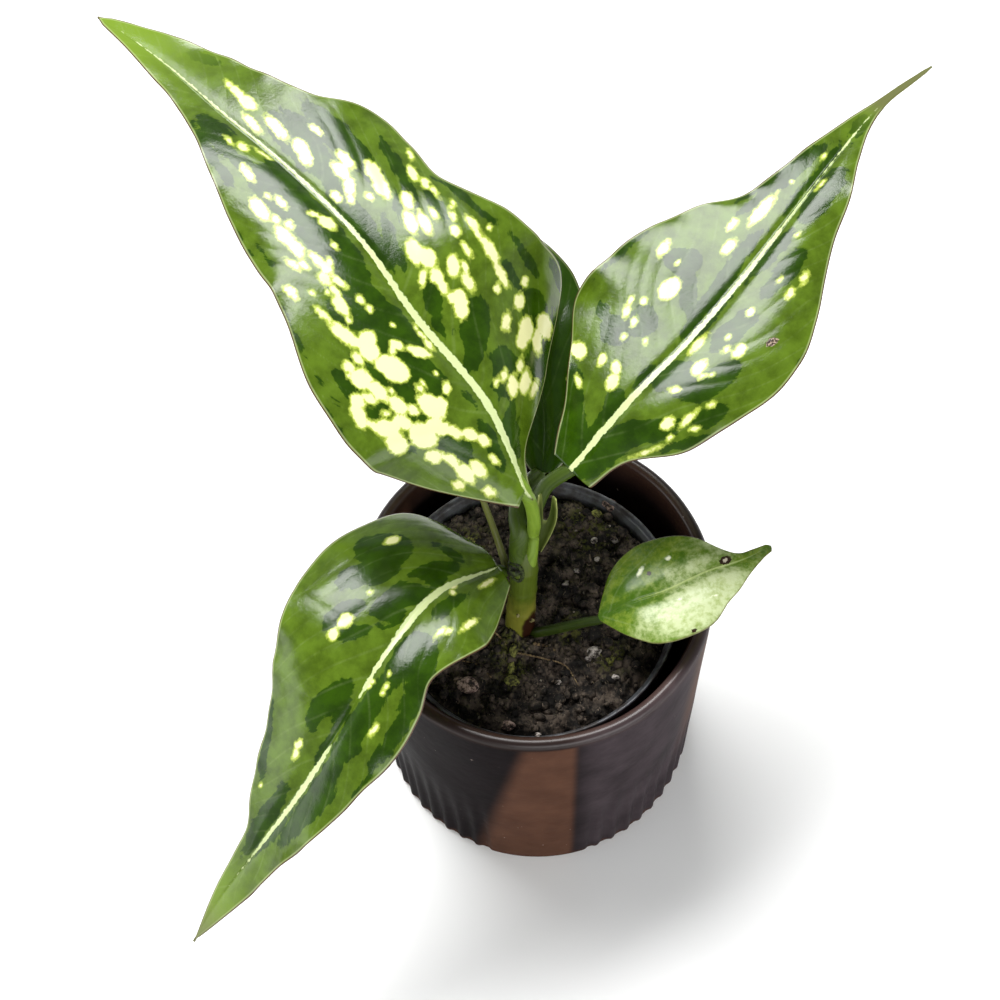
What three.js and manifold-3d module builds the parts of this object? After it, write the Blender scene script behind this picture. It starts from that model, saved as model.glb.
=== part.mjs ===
// A young Chinese evergreen (Aglaonema) growing in a thin nursery pot, which stands loose inside a
// fluted, glazed ceramic cachepot. Millimetres, +Z up, the cachepot's axis is the Z axis and its
// underside is z = 0. The front of the pot, with its plain glazed panel, faces -Y.
import * as THREE from "three";
import { mergeVertices } from "three/addons/utils/BufferGeometryUtils.js";
import Module from "manifold-3d";

// ---- driving dimensions --------------------------------------------------------------------------

const GAP = 0.3; // clearance between pieces that touch

const CACHEPOT = {
  height: 84,
  rimRadius: 45,
  footRadius: 43.5,
  wall: 3.6,
  floor: 4,
  bevel: 1.2, // at the foot
  lip: 1.7, // radius of the rounded rim
  cove: 3, // inside, between wall and floor
  fluteCount: 56,
  fluteDepth: 0.9,
  fluteTop: 44, // the flutes have faded out at this height
  panelCount: 4, // plain panels between the fluted ones
  panelAngle: -92, // degrees, the middle of the front panel
  panelHalfWidth: 16, // degrees
  panelBorder: 4, // degrees over which the flutes fade out beside a panel
  insideSegments: 72,
};

const NURSERY_POT = {
  centre: [-1, -2.5], // it stands a little to the front of the cachepot's axis
  rimHeight: 77, // above the table
  rimRadius: 37,
  baseRadius: 31,
  wall: 0.8,
  bead: 1, // the rim is turned out by this much
  beadHeight: 2,
  holeCount: 5,
  holeRadius: 3,
  holeRing: 20,
  segments: 48,
};

const SOIL = {
  level: 73,
  roughness: 0.8, // height of the crumbs and hollows
  hollow: 8, // how deep the stem stands in it
  edgeDrop: 1.5, // the heap is lower and rounder along the pot's wall
  rings: 10,
  segments: 40,
};

const STEM = {
  axis: [[-4.5, -10.8, SOIL.level - SOIL.hollow], [-4.5, -10.8, 73], [-3.6, -6.5, 85], [-2.8, -2.5, 96], [-2, 1, 104]],
  radii: [3.1, 3.4, 3.5, 3.4, 3.4],
  collar: 1.85, // distance of each leaf stalk's foot from the stem's axis at its top
};

const BLADE_THICKNESS = 0.8;
const NARROWEST_HALF = 0.3; // half width of a blade at its tip
const BLADE_ROWS = 24;
const BLADE_COLUMNS = 5; // on each side of the midrib

// Each half of a blade rises from the midrib by `fold` and turns down again towards its edge by
// `curl`, both as parts of its width; the five values run from the base to the tip.
const FOLD = [0.1, 0.2, 0.15, 0.15, 0.2];
const CURL = [0.3, 0.25, 0.2, 0.15, 0.1];

// The raised midrib under a blade: places along the leaf and the depth of the rib's axis there.
const RIB = [[0.02, 1.5], [0.15, 1.2], [0.3, 1], [0.45, 0.8]];

// spine: points on the midrib, base to tip. left, right: half widths at even steps along it, seen
// from the base towards the tip. waves: rise and fall of the edges. lobe: how far the base reaches
// back past the stalk. stalk: points from its foot to the blade, then its radii from foot to tip.
const LEAVES = {
  leaf_1: {
    spine: [[-2, -1, 131], [-10, 16, 142], [-25, 34, 151], [-38, 54, 157], [-54, 73, 160], [-70, 91, 160],
      [-86, 110, 159], [-103, 128, 157]],
    left: [3, 21, 29, 31, 29.5, 26, 24, 22, 18.5, 14, 9, 6, 4.5, 2.5, 0],
    right: [1.5, 6, 21.5, 40, 37.5, 33.5, 26.5, 27.5, 27, 19, 15.5, 13, 9, 5, 0],
    foldRight: [-1.2, 0.1, 0.15, 0.15, 0.2],
    waves: { height: 1.6, count: 3.2, phase: 0.1 },
    lobe: 3,
    collarAngle: -40,
    stalk: [[0.9, 0.6, 116], [0.5, 0.7, 123], [-0.8, 0, 128]],
    stalkRadii: [1.45, 1.6, 1.6, 1.3, 0.7],
    colour: "#4f8a24",
  },
  leaf_2: {
    spine: [[9, 10, 121], [23, 21, 132], [38, 33, 139], [52, 47, 144], [65, 62, 148], [78, 78, 150],
      [91, 94, 149], [106, 108, 146]],
    left: [6, 12.5, 20.5, 29.5, 30, 28.5, 26, 21, 12.5, 9, 6.5, 4, 1.5, 0.7, 0],
    right: [6.5, 9.5, 18, 21, 24.5, 24.5, 21, 16, 12, 9.5, 5.5, 2.5, 1, 1, 0],
    waves: { height: 1.2, count: 2.6, phase: 0.4 },
    lobe: 0,
    collarAngle: 80,
    stalk: [[0, 5.5, 109], [3.4, 9.4, 115]],
    stalkRadii: [1.45, 1.8, 1.8, 1.2, 0.7],
    colour: "#467d22",
  },
  leaf_3: {
    spine: [[-9, -3, 99], [-24, -12, 104], [-36, -26, 103], [-47, -41, 96], [-58, -52, 84], [-69, -60, 71],
      [-80, -67, 57], [-90, -75, 42]],
    left: [6, 15, 18, 17, 13.5, 15, 15, 13, 11.5, 10, 8, 7, 5.5, 3, 0],
    right: [9, 24, 27.5, 29, 28.5, 26, 23.5, 19.5, 15.5, 12, 6.5, 4.5, 3, 1.5, 0],
    waves: { height: 1.2, count: 2.4, phase: 0.7 },
    lobe: 0,
    stalk: [[-7.7, -2.9, 94.6], [-8.5, -3, 96.8]],
    stalkRadii: [1.3, 1.3, 1.2, 0.9, 0.6],
    colour: "#4a7f24",
  },
  leaf_4: {
    spine: [[15, -13, 88], [23, -11, 92], [32, -9, 94], [42, -5, 95], [51, -2, 94], [59, 3, 91]],
    left: [1, 9, 12, 14, 14.5, 13.5, 10.5, 5.5, 2.5, 1, 0],
    right: [1, 7, 11, 13, 13.5, 13, 10.5, 8, 4.5, 3, 0],
    waves: { height: 0.5, count: 2.2, phase: 0.2 },
    lobe: 0,
    rows: 16,
    columns: 4,
    stalk: [[-0.4, -11, 76.4], [5.6, -11.9, 78.5], [11.8, -12.2, 83.5]],
    stalkRadii: [1.2, 1.3, 1.2, 0.7, 0.5],
    colour: "#93b33a",
  },
  leaf_5: {
    spine: [[3, 15, 112], [4, 27, 118], [3, 40, 124], [2, 53, 128], [-1, 66, 130], [-5, 80, 131]],
    left: [3, 8, 11, 12.5, 13, 12.5, 11, 9, 6, 3, 0],
    right: [3, 8, 11.5, 13.5, 14.5, 14.5, 13.5, 12.5, 9.5, 5, 0],
    waves: { height: 0.9, count: 2.2, phase: 0.3 },
    lobe: 0,
    rows: 18,
    columns: 4,
    collarAngle: 200,
    stalk: [[-3.6, 5.5, 108.5], [-2, 11, 110.5]],
    stalkRadii: [1.45, 1.6, 1.5, 1.1, 0.6],
    colour: "#3c6b20",
  },
};

// What is left of an old leaf stalk: a short trough that stands open at the back of the stem.
const OLD_SHEATH = {
  spine: [[2.5, 1.5, 100.3], [3.5, 4, 107], [4.2, 6.6, 114]],
  left: [0.8, 1.4, 1.9, 2.2, 2.3],
  right: [0.8, 1.4, 1.9, 2.2, 2.3],
  fold: [0.3, 0.6, 0.9, 1, 1],
  curl: [-0.2, -0.2, -0.2, -0.2, -0.2],
  thickness: 0.6,
  rows: 8,
  columns: 4,
};

// A thin dry stalk that leans away from the stem's left side.
const OLD_STALK = {
  path: [[-7, -0.7, 94], [-9.6, 5.3, 102], [-11.9, 9.3, 110], [-13.7, 13.7, 116]],
  radii: [0.95, 0.85, 0.8, 0.7],
};

// Chips of perlite and bark on the soil: x, y and size. The big ones first, then small ones by rule.
const BIG_CHIPS = [[-18.1, -23, 2.2], [-8.8, -33.5, 1.5], [14.2, -15.1, 1.7], [18.1, -18, 1.4], [18.2, -23, 1.2],
  [4.9, -23.4, 1], [16.1, 15.8, 1.2], [21.4, 16.7, 1.2], [8.1, 4.5, 1.1], [-7, -22.2, 1.9], [17.3, 24, 1.5]];
const SMALL_CHIP_COUNT = 26;
const SMALL_CHIP_SIZE = [0.7, 1.1];

// ---- solids --------------------------------------------------------------------------------------

const manifold = await Module();
manifold.setup();

// A closed geometry as a solid.
function solidOf(geometry) {
  const bare = geometry.clone();
  bare.deleteAttribute("normal");
  bare.deleteAttribute("uv");
  const merged = mergeVertices(bare, 1e-4);
  return new manifold.Manifold(
    new manifold.Mesh({
      numProp: 3,
      vertProperties: merged.attributes.position.array,
      triVerts: new Uint32Array(merged.index.array),
    }),
  );
}

// A solid as a geometry with flat normals.
function geometryOf(solid) {
  const mesh = solid.getMesh();
  const geometry = new THREE.BufferGeometry();
  geometry.setAttribute("position", new THREE.BufferAttribute(mesh.vertProperties, mesh.numProp));
  geometry.setIndex(new THREE.BufferAttribute(mesh.triVerts, 1));
  geometry.computeVertexNormals();
  return geometry;
}

function meshOf(name, solid, colour, roughness, metalness = 0) {
  const material = new THREE.MeshStandardMaterial({ color: colour, roughness, metalness });
  const mesh = new THREE.Mesh(geometryOf(solid), material);
  mesh.name = name;
  return mesh;
}

// A profile of [radius, height] points turned about the Z axis.
function turned(profile, segments) {
  const points = profile.map(([radius, height]) => new THREE.Vector2(radius, height));
  return new THREE.LatheGeometry(points, segments).rotateX(Math.PI / 2);
}

// The value at t (0 to 1) of a smooth curve through values that stand at even steps.
function along(values, t) {
  const last = values.length - 1;
  const index = Math.min(Math.floor(t * last), last - 1);
  const u = t * last - index;
  const at = (i) => {
    if (i < 0) return 2 * values[0] - values[1];
    if (i > last) return 2 * values[last] - values[last - 1];
    return values[i];
  };
  const [before, from, to, after] = [at(index - 1), at(index), at(index + 1), at(index + 2)];
  const leaving = (to - before) / 2;
  const arriving = (after - from) / 2;
  const cubic = 2 * from - 2 * to + leaving + arriving;
  const square = -3 * from + 3 * to - 2 * leaving - arriving;
  return ((cubic * u + square) * u + leaving) * u + from;
}

// The point at t of a smooth curve through points at even steps.
function pointAlong(points, t) {
  return new THREE.Vector3(...[0, 1, 2].map((axis) => along(points.map((point) => point[axis]), t)));
}

// Random numbers from 0 to 1, the same ones each time.
function seededRandom(seed) {
  let state = seed;
  return () => {
    state = (state * 1664525 + 1013904223) % 4294967296;
    return state / 4294967296;
  };
}

// A round stalk of changing radius along a smooth path through the points.
function stalk(points, radii, sides = 6, steps = 12) {
  const path = new THREE.CatmullRomCurve3(points.map((point) => new THREE.Vector3(...point)));
  const frames = path.computeFrenetFrames(steps, false);
  const position = [];
  const index = [];
  for (let i = 0; i <= steps; i++) {
    const centre = path.getPointAt(i / steps);
    const radius = along(radii, i / steps);
    for (let j = 0; j < sides; j++) {
      const angle = (2 * Math.PI * j) / sides;
      const out = frames.normals[i].clone().multiplyScalar(Math.cos(angle) * radius);
      out.addScaledVector(frames.binormals[i], Math.sin(angle) * radius);
      position.push(...centre.clone().add(out).toArray());
    }
  }
  const at = (i, j) => i * sides + (j % sides);
  for (let i = 0; i < steps; i++)
    for (let j = 0; j < sides; j++) {
      index.push(at(i, j), at(i, j + 1), at(i + 1, j));
      index.push(at(i, j + 1), at(i + 1, j + 1), at(i + 1, j));
    }
  for (let j = 1; j < sides - 1; j++) {
    index.push(at(0, 0), at(0, j + 1), at(0, j));
    index.push(at(steps, 0), at(steps, j), at(steps, j + 1));
  }
  return closedGeometry(position, index);
}

function closedGeometry(position, index) {
  const geometry = new THREE.BufferGeometry();
  geometry.setAttribute("position", new THREE.Float32BufferAttribute(position, 3));
  geometry.setIndex(index);
  return geometry;
}

// The directions at t along a leaf: along its midrib, to its right and up out of its face.
function leafFrame(leaf, t) {
  const step = 0.001;
  const ahead = pointAlong(leaf.spine, Math.min(t + step, 1));
  const forward = ahead.sub(pointAlong(leaf.spine, Math.max(t - step, 0))).normalize();
  const right = forward.clone().cross(new THREE.Vector3(0, 0, 1)).normalize();
  const up = right.clone().cross(forward);
  return { forward, right, up };
}

// A leaf blade of even thickness: rows from base to tip, columns from its left edge to its right.
function blade(leaf) {
  const { rows = BLADE_ROWS, columns = BLADE_COLUMNS, thickness = BLADE_THICKNESS, lobe = 0 } = leaf;
  const { fold = FOLD, foldRight = fold, curl = CURL, waves = { height: 0, count: 0, phase: 0 } } = leaf;
  const width = 2 * columns + 1;
  const upper = [];
  const lower = [];
  for (let i = 0; i <= rows; i++) {
    const t = i / rows;
    const { forward, right, up } = leafFrame(leaf, t);
    for (let j = -columns; j <= columns; j++) {
      const side = Math.sign(j);
      const part = Math.abs(j) / columns; // 0 on the midrib, 1 at the edge
      const half = Math.max(along(side < 0 ? leaf.left : leaf.right, t), NARROWEST_HALF);
      const slope = along(side < 0 ? fold : foldRight, t);
      const drop = along(curl, t);
      const wave = waves.height * Math.sin(2 * Math.PI * (waves.count * t + waves.phase)) * Math.sin(Math.PI * t);
      const rise = half * (slope * part - drop * part ** 2) + wave * part ** 2 * Math.min(half / 10, 1);
      const reach = lobe * part * (1 - t) ** 10;
      const tilt = slope - 2 * drop * part;
      const point = pointAlong(leaf.spine, t);
      point.addScaledVector(right, side * half * part).addScaledVector(up, rise).addScaledVector(forward, -reach);
      const normal = up.clone().addScaledVector(right, -side * tilt).normalize();
      upper.push(...point.toArray());
      lower.push(...point.addScaledVector(normal, -thickness).toArray());
    }
  }
  const at = (i, j, face) => face * (rows + 1) * width + i * width + j;
  const index = [];
  const quad = (a, b, c, d) => index.push(a, b, c, a, c, d);
  for (let i = 0; i < rows; i++)
    for (let j = 0; j < width - 1; j++) {
      quad(at(i, j, 0), at(i, j + 1, 0), at(i + 1, j + 1, 0), at(i + 1, j, 0));
      index.push(at(i, j, 1), at(i + 1, j + 1, 1), at(i, j + 1, 1));
      index.push(at(i, j, 1), at(i + 1, j, 1), at(i + 1, j + 1, 1));
    }
  for (let i = 0; i < rows; i++) {
    quad(at(i, 0, 0), at(i + 1, 0, 0), at(i + 1, 0, 1), at(i, 0, 1));
    quad(at(i, width - 1, 0), at(i, width - 1, 1), at(i + 1, width - 1, 1), at(i + 1, width - 1, 0));
  }
  for (let j = 0; j < width - 1; j++) {
    quad(at(0, j, 0), at(0, j, 1), at(0, j + 1, 1), at(0, j + 1, 0));
    quad(at(rows, j, 0), at(rows, j + 1, 0), at(rows, j + 1, 1), at(rows, j, 1));
  }
  return closedGeometry([...upper, ...lower], index);
}

// ---- pots ----------------------------------------------------------------------------------------

// 1 on the fluted panels of the cachepot, 0 on the plain ones, with soft borders.
function flutedAt(angle) {
  const spacing = 360 / CACHEPOT.panelCount;
  const turn = THREE.MathUtils.radToDeg(angle) - CACHEPOT.panelAngle;
  const fromPanel = Math.abs(THREE.MathUtils.euclideanModulo(turn + spacing / 2, spacing) - spacing / 2);
  return THREE.MathUtils.smoothstep(fromPanel, CACHEPOT.panelHalfWidth, CACHEPOT.panelHalfWidth + CACHEPOT.panelBorder);
}

function cachepot() {
  const { height, rimRadius, footRadius, wall, floor, bevel, lip, cove, fluteTop } = CACHEPOT;
  const radiusAt = (z) => footRadius + ((rimRadius - footRadius) * z) / height;
  const outside = [[0, 0], [footRadius - bevel, 0]];
  for (const z of [bevel, 12, 23, 34, fluteTop]) outside.push([radiusAt(z), z]);
  for (const turn of [0, 30, 60, 90]) {
    const angle = THREE.MathUtils.degToRad(turn);
    outside.push([rimRadius - lip + lip * Math.cos(angle), height - lip + lip * Math.sin(angle)]);
  }
  outside.push([0, height]);
  const body = turned(outside, CACHEPOT.fluteCount * 4);
  const position = body.attributes.position;
  for (let i = 0; i < position.count; i++) {
    const [x, y, z] = [position.getX(i), position.getY(i), position.getZ(i)];
    const radius = Math.hypot(x, y);
    if (radius < 1 || z >= fluteTop) continue;
    const angle = Math.atan2(y, x);
    const fade = 1 - THREE.MathUtils.smoothstep(z, 0.2 * fluteTop, fluteTop);
    const groove = 0.5 - 0.5 * Math.cos(CACHEPOT.fluteCount * angle);
    const scale = 1 - (CACHEPOT.fluteDepth * fade * groove * flutedAt(angle)) / radius;
    position.setXY(i, x * scale, y * scale);
  }
  const inner = radiusAt(height) - wall;
  const hollow = turned([[0, floor], [radiusAt(floor) - wall - cove, floor], [radiusAt(floor) - wall, floor + cove],
    [inner, height - lip], [inner + 0.3 * lip, height - 0.4 * lip], [inner + lip, height + 1], [0, height + 1]],
    CACHEPOT.insideSegments);
  return solidOf(body).subtract(solidOf(hollow));
}

// Profile of the nursery pot's inner wall: its radius at a height above the table.
function nurseryInside(z) {
  const { rimRadius, baseRadius, rimHeight, wall, bead } = NURSERY_POT;
  const base = CACHEPOT.floor + GAP;
  return baseRadius + ((rimRadius - bead - baseRadius) * (z - base)) / (rimHeight - base) - wall;
}

function nurseryPot() {
  const { centre, rimRadius, rimHeight, wall, bead, beadHeight, holeCount, holeRadius, holeRing } = NURSERY_POT;
  const base = CACHEPOT.floor + GAP;
  const floorTop = base + wall;
  const shoulder = rimHeight - beadHeight;
  const shell = turned([[0, base], [nurseryInside(base) + wall, base], [nurseryInside(shoulder) + wall, shoulder],
    [rimRadius, shoulder + 0.5], [rimRadius, rimHeight - 0.3], [rimRadius - 0.4, rimHeight],
    [nurseryInside(rimHeight) + 0.2, rimHeight], [nurseryInside(rimHeight), rimHeight - 0.4],
    [nurseryInside(floorTop), floorTop], [0, floorTop]], NURSERY_POT.segments);
  let pot = solidOf(shell);
  for (let i = 0; i < holeCount; i++) {
    const angle = (2 * Math.PI * i) / holeCount;
    const hole = turned([[0, base - 1], [holeRadius, base - 1], [holeRadius, floorTop + 1], [0, floorTop + 1]], 16);
    hole.translate(holeRing * Math.cos(angle), holeRing * Math.sin(angle), 0);
    pot = pot.subtract(solidOf(hole));
  }
  return pot.translate([...centre, 0]);
}

// ---- soil ----------------------------------------------------------------------------------------

// Height of the crumbly soil surface above its mean level.
function crumbs(x, y) {
  const coarse = Math.sin(0.31 * x + 1.3) * Math.cos(0.27 * y - 0.4);
  const fine = Math.sin(0.52 * x - 0.44 * y) + Math.sin(0.55 * y + 0.4 * x + 2);
  return SOIL.roughness * (0.5 * coarse + 0.35 * fine);
}

function soil() {
  const [cx, cy] = NURSERY_POT.centre;
  const bottom = CACHEPOT.floor + GAP + NURSERY_POT.wall + GAP;
  const edge = SOIL.level - SOIL.edgeDrop;
  const rings = [[0, bottom], [nurseryInside(bottom) - GAP, bottom], [nurseryInside(edge) - GAP, edge]];
  const outerRing = nurseryInside(edge) - GAP - 1;
  for (let i = SOIL.rings; i >= 0; i--) rings.push([(outerRing * i) / SOIL.rings, SOIL.level]);
  const heap = turned(rings, SOIL.segments).translate(cx, cy, 0);
  const position = heap.attributes.position;
  for (let i = 0; i < position.count; i++)
    if (position.getZ(i) > SOIL.level - 0.1)
      position.setZ(i, SOIL.level + crumbs(position.getX(i), position.getY(i)));
  let ground = solidOf(heap);
  const random = seededRandom(7);
  const chips = [...BIG_CHIPS];
  while (chips.length < BIG_CHIPS.length + SMALL_CHIP_COUNT) {
    const angle = 2 * Math.PI * random();
    const distance = (outerRing - 2) * Math.sqrt(random());
    const [x, y] = [cx + distance * Math.cos(angle), cy + distance * Math.sin(angle)];
    const clear = Math.hypot(x - STEM.axis[1][0], y - STEM.axis[1][1]) > 7;
    if (clear) chips.push([x, y, THREE.MathUtils.lerp(...SMALL_CHIP_SIZE, random())]);
  }
  for (const [x, y, size] of chips) {
    const chip = new THREE.IcosahedronGeometry(size, 0);
    chip.scale(1, 0.8 + 0.3 * random(), 0.7).rotateZ(6 * random());
    chip.translate(x, y, SOIL.level + crumbs(x, y) - 0.1 * size);
    ground = ground.add(solidOf(chip));
  }
  const [foot, neck] = STEM.axis;
  const hole = stalk([[...foot.slice(0, 2), foot[2] - GAP], foot, neck, STEM.axis[2]],
    STEM.radii.slice(0, 4).map((radius) => radius + GAP), 14);
  return ground.subtract(solidOf(hole));
}

// ---- plant ---------------------------------------------------------------------------------------

// The foot of a leaf stalk on the stem's top face, and a point above it along the stem.
function collar(angle) {
  const [under, top] = STEM.axis.slice(-2).map((point) => new THREE.Vector3(...point));
  const up = top.clone().sub(under).normalize();
  const right = new THREE.Vector3(0, 1, 0).cross(up).normalize();
  const back = up.clone().cross(right);
  const turn = THREE.MathUtils.degToRad(angle);
  const foot = top.clone().addScaledVector(up, GAP);
  foot.addScaledVector(right, STEM.collar * Math.cos(turn)).addScaledVector(back, STEM.collar * Math.sin(turn));
  return [foot.toArray(), foot.clone().addScaledVector(up, 2).toArray()];
}

// A leaf with its own stalk, which runs on under the blade as its raised midrib.
function leaf(dimensions) {
  const foot = dimensions.collarAngle === undefined ? [] : collar(dimensions.collarAngle);
  const rib = RIB.map(([t, depth]) => {
    const { up } = leafFrame(dimensions, t);
    return pointAlong(dimensions.spine, t).addScaledVector(up, -depth).toArray();
  });
  const path = [...foot, ...dimensions.stalk, ...rib];
  return solidOf(blade(dimensions)).add(solidOf(stalk(path, dimensions.stalkRadii, 6, 14)));
}

// ---- the object ----------------------------------------------------------------------------------

const plant = new THREE.Group();
plant.add(meshOf("stem", solidOf(stalk(STEM.axis, STEM.radii, 14, 14)), "#7d8c34", 0.5));
for (const [name, dimensions] of Object.entries(LEAVES))
  plant.add(meshOf(name, leaf(dimensions), dimensions.colour, 0.35));
plant.add(meshOf("old_sheath", solidOf(blade(OLD_SHEATH)), "#777f42", 0.6));
plant.add(meshOf("old_stalk", solidOf(stalk(OLD_STALK.path, OLD_STALK.radii, 8, 8)), "#6d7338", 0.6));

const potted = new THREE.Group();
potted.add(meshOf("cachepot", cachepot(), "#3d3032", 0.3));
potted.add(meshOf("nursery_pot", nurseryPot(), "#77757a", 0.5));
potted.add(meshOf("soil", soil(), "#2b211c", 0.95));
potted.add(plant);

export default potted;
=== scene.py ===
"""A young Chinese evergreen in a nursery pot, standing in a fluted, glazed cachepot.

Shapes are worked out in millimetres, with the cachepot's axis on Z and its underside at z = 0, and go into
the meshes in metres. Each leaf is a function of its place along the midrib and its place across a half.
"""

import math
from functools import partial

import bpy
import numpy as np
from bpy.props import FloatProperty, FloatVectorProperty, IntProperty, PointerProperty
from mathutils import Matrix, Vector


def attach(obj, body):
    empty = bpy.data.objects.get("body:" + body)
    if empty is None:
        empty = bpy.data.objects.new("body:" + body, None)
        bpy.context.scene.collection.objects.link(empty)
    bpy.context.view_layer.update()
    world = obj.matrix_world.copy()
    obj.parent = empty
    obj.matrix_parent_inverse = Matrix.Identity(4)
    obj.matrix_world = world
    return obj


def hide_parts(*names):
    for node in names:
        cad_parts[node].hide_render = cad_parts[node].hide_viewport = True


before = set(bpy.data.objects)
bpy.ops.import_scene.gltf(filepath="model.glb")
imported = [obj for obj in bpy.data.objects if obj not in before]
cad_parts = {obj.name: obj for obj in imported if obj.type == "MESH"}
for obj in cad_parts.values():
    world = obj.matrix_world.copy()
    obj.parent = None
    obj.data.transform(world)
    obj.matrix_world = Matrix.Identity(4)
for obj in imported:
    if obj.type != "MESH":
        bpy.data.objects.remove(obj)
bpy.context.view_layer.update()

bl_info = {
    "name": "Potted Chinese Evergreen",
    "version": (1, 0, 0),
    "blender": (4, 5, 0),
    "location": "View3D > Sidebar > Evergreen",
    "description": "Builds a potted Chinese evergreen with its soil, nursery pot and glazed cachepot",
    "category": "Add Mesh",
}

MM = 0.001

# ---- sizes, in millimetres --------------------------------------------------------------------------

# flutes: their number and the height where they fade out. panels: plain strips of the wall, their number, the
# angle of one, half its width and the width of its soft border, in degrees
CACHEPOT = dict(foot=43.5, rim=45, bevel=1.2, wall=3.6, floor=4, cove=3, lip=1.7, flutes=56, flute_top=44,
                panels=4, panel_angle=-92, panel_half=16, panel_border=4)
# holes: the drain holes' number, their radius, and the radius of the ring they stand on
NURSERY = dict(centre=(-1, -2.5), rim_height=77, rim=37, base=31, wall=0.8, bead=1, bead_height=2,
               base_height=4.3, holes=5, hole_radius=3, hole_ring=20)
# heap: place, height and squared spread of the low heap round the stem
SOIL = dict(level=73, roughness=0.8, edge_drop=1.5, bottom=5.4, clearance=0.15, heap=(-4.4, -10, 3.6, 60))
# chips in the compost: darkest and lightest tone, and x, y and size of each
CHIPS = {
    "bark_chips": ("#3e2d25", "#b59c90", [
        (-18.1, -23, 2.3), (-20.3, -21.6, 1.2), (-8.8, -34.5, 1.5), (-24.5, -12, 1.2), (21, 27, 1.8)]),
    "mineral_chips": ("#4d443d", "#cdc3bb", [
        (14.2, -15.1, 1.7), (12.9, -16.7, 1), (18.6, -23.2, 0.9), (4.9, -23.6, 0.8), (-1.3, -37.3, 0.8),
        (16.1, 15.8, 0.9), (21.4, 16.7, 1), (16.6, 11.1, 0.7), (8.1, 4.5, 0.9), (11, 8, 0.7)]),
    "mossy_chips": ("#3d3d18", "#96964c", [
        (-7, -22.2, 1.6), (18.1, -17.5, 1.5), (-7.4, -16.8, 0.9), (-15.7, 17.3, 1.2), (17.3, 24, 1.2)]),
}
# the thick root that runs out from the stem's foot under the same green film as the mossy chips
MOSSY_ROOT = [(-5.6, -13.5, 76.2), (-6.4, -15.8, 75.6), (-6.9, -18.2, 74.2), (-7, -20.6, 73)]
# green film on the compost: x, y and reach of each patch
ALGAE = [(-7.6, -13.9, 4), (-7, -20, 3.5), (18, -17, 4), (-15.7, 17.3, 5), (8, -9, 4), (14, 20, 7)]
# fine roots that lie on the compost: points (x, y, height over it), and radius
ROOTS = [
    ([(-7, -15, 0.5), (2, -17.6, 0.8), (6.5, -19, 0.6), (9.6, -24, 0.2)], 0.28),
    ([(-1, -14, 0.3), (1.5, -13.4, 0.8), (4.4, -14.8, 0.2)], 0.45),
    ([(-14, -8, 0.2), (-10.5, -10.5, 1.4), (-8, -13, 0.3)], 0.3),
    ([(24, -2, 0.1), (20, -6, 0.7), (21, -11, 0.1)], 0.2),
    ([(-22, -16, 0.1), (-16, -17, 0.6), (-12, -21, 0.1)], 0.2),
]
STEM_AXIS = [(-4.5, -10.8, 65), (-4.5, -10.8, 73), (-3.6, -6.5, 85), (-2.8, -2.5, 96), (-2, 1, 104)]
STEM_RADII = [3.6, 3.8, 3.5, 3.4, 3.3]
# the foot stands a little further back in the heap of compost than the plain solid's
STEM_SHIFT = [(0.2, 2.6, 0), (0.2, 2.6, 0), (0.1, 1.4, 0), (0, 0.2, 0), (0, 0, 0)]
STEM_JOINTS = (0.24, 0.42, 0.6, 0.78)  # where old leaves stood, as shares of the stem's length
# the raised ring on the stem's front: x and z of its middle, its half width and half height, its distance from
# the stem's axis, and its thickness
STEM_SCAR = dict(place=(-4.7, 98), half=(1.5, 2.3), reach=3.65, thickness=0.5)
OLD_SHEATH = [(0.5, 0.2, 100), (1.8, 1.6, 106), (3, 3, 112.5), (3.3, 4.2, 120.5)]
OLD_STALK = [(-7, -0.7, 94), (-9.6, 5.3, 102), (-11.9, 9.3, 110), (-13.7, 13.7, 116)]
COLLAR = 1.85  # distance of a leaf stalk's foot from the stem's axis at its top
GAP = 0.3  # height of the stalks' collar over the stem's top

FLOOR = dict(radius=2400, sides=120)
# a lamp's width and height in metres, its azimuth from +Y towards +X and its elevation in degrees, and its
# distance in metres from the place it lights
LAMPS = {
    "key": ((1.7, 1.1), -27, 60, 2.2),
    "side": ((1.0, 0.5), -100, 10, 1.5),
    "front": ((2.6, 1.2), 158, 24, 2.2),
}
LIT_PLACE = (0, 0, 100)
# down and roll: how far the camera looks down from level, and how far it is turned about its view, in degrees.
# clip: the nearest and the farthest that it sees, in metres.
CAMERA = dict(place=(-7.814, -208.176, 486.257), down=60, roll=2.8, sensor=36, clip=(0.01, 20))

# A blade. margin: width of its rounded edge. narrowest: least half width. vein_step: between two side veins,
# along the midrib. bulge: of the skin between them. groove and ridge: depth of the furrow along the midrib and
# height of the midrib in it. ripple: of the margin. bow: how far out the two sides rise. thin and thick: the
# skin at the margin, and what the middle adds to it.
BLADE = dict(margin=0.5, narrowest=0.3, vein_step=8.5, bulge=0.08, groove=0.45, ridge=0.3, ripple=0.35, bow=9,
             thin=0.3, thick=0.4)
YELLOW_TIP = (0.72, 0.95)  # where a blade starts to yellow, and is yellow, as shares of its length
PATTERN_STEP = 31.0  # between two leaves' places in the noise patterns, so that no two leaves are alike
LEAF_FIELDS = (
    "patch", "pale", "spot", "speck", "rib", "line", "rim", "vein", "out", "tip", "dry", "back", "leaf")
# how a half rises from the midrib and curls down again, at even steps along it, where a leaf gives none
FOLD = [0.1, 0.2, 0.15, 0.15, 0.2]
CURL = [0.3, 0.25, 0.2, 0.15, 0.1]

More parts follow.
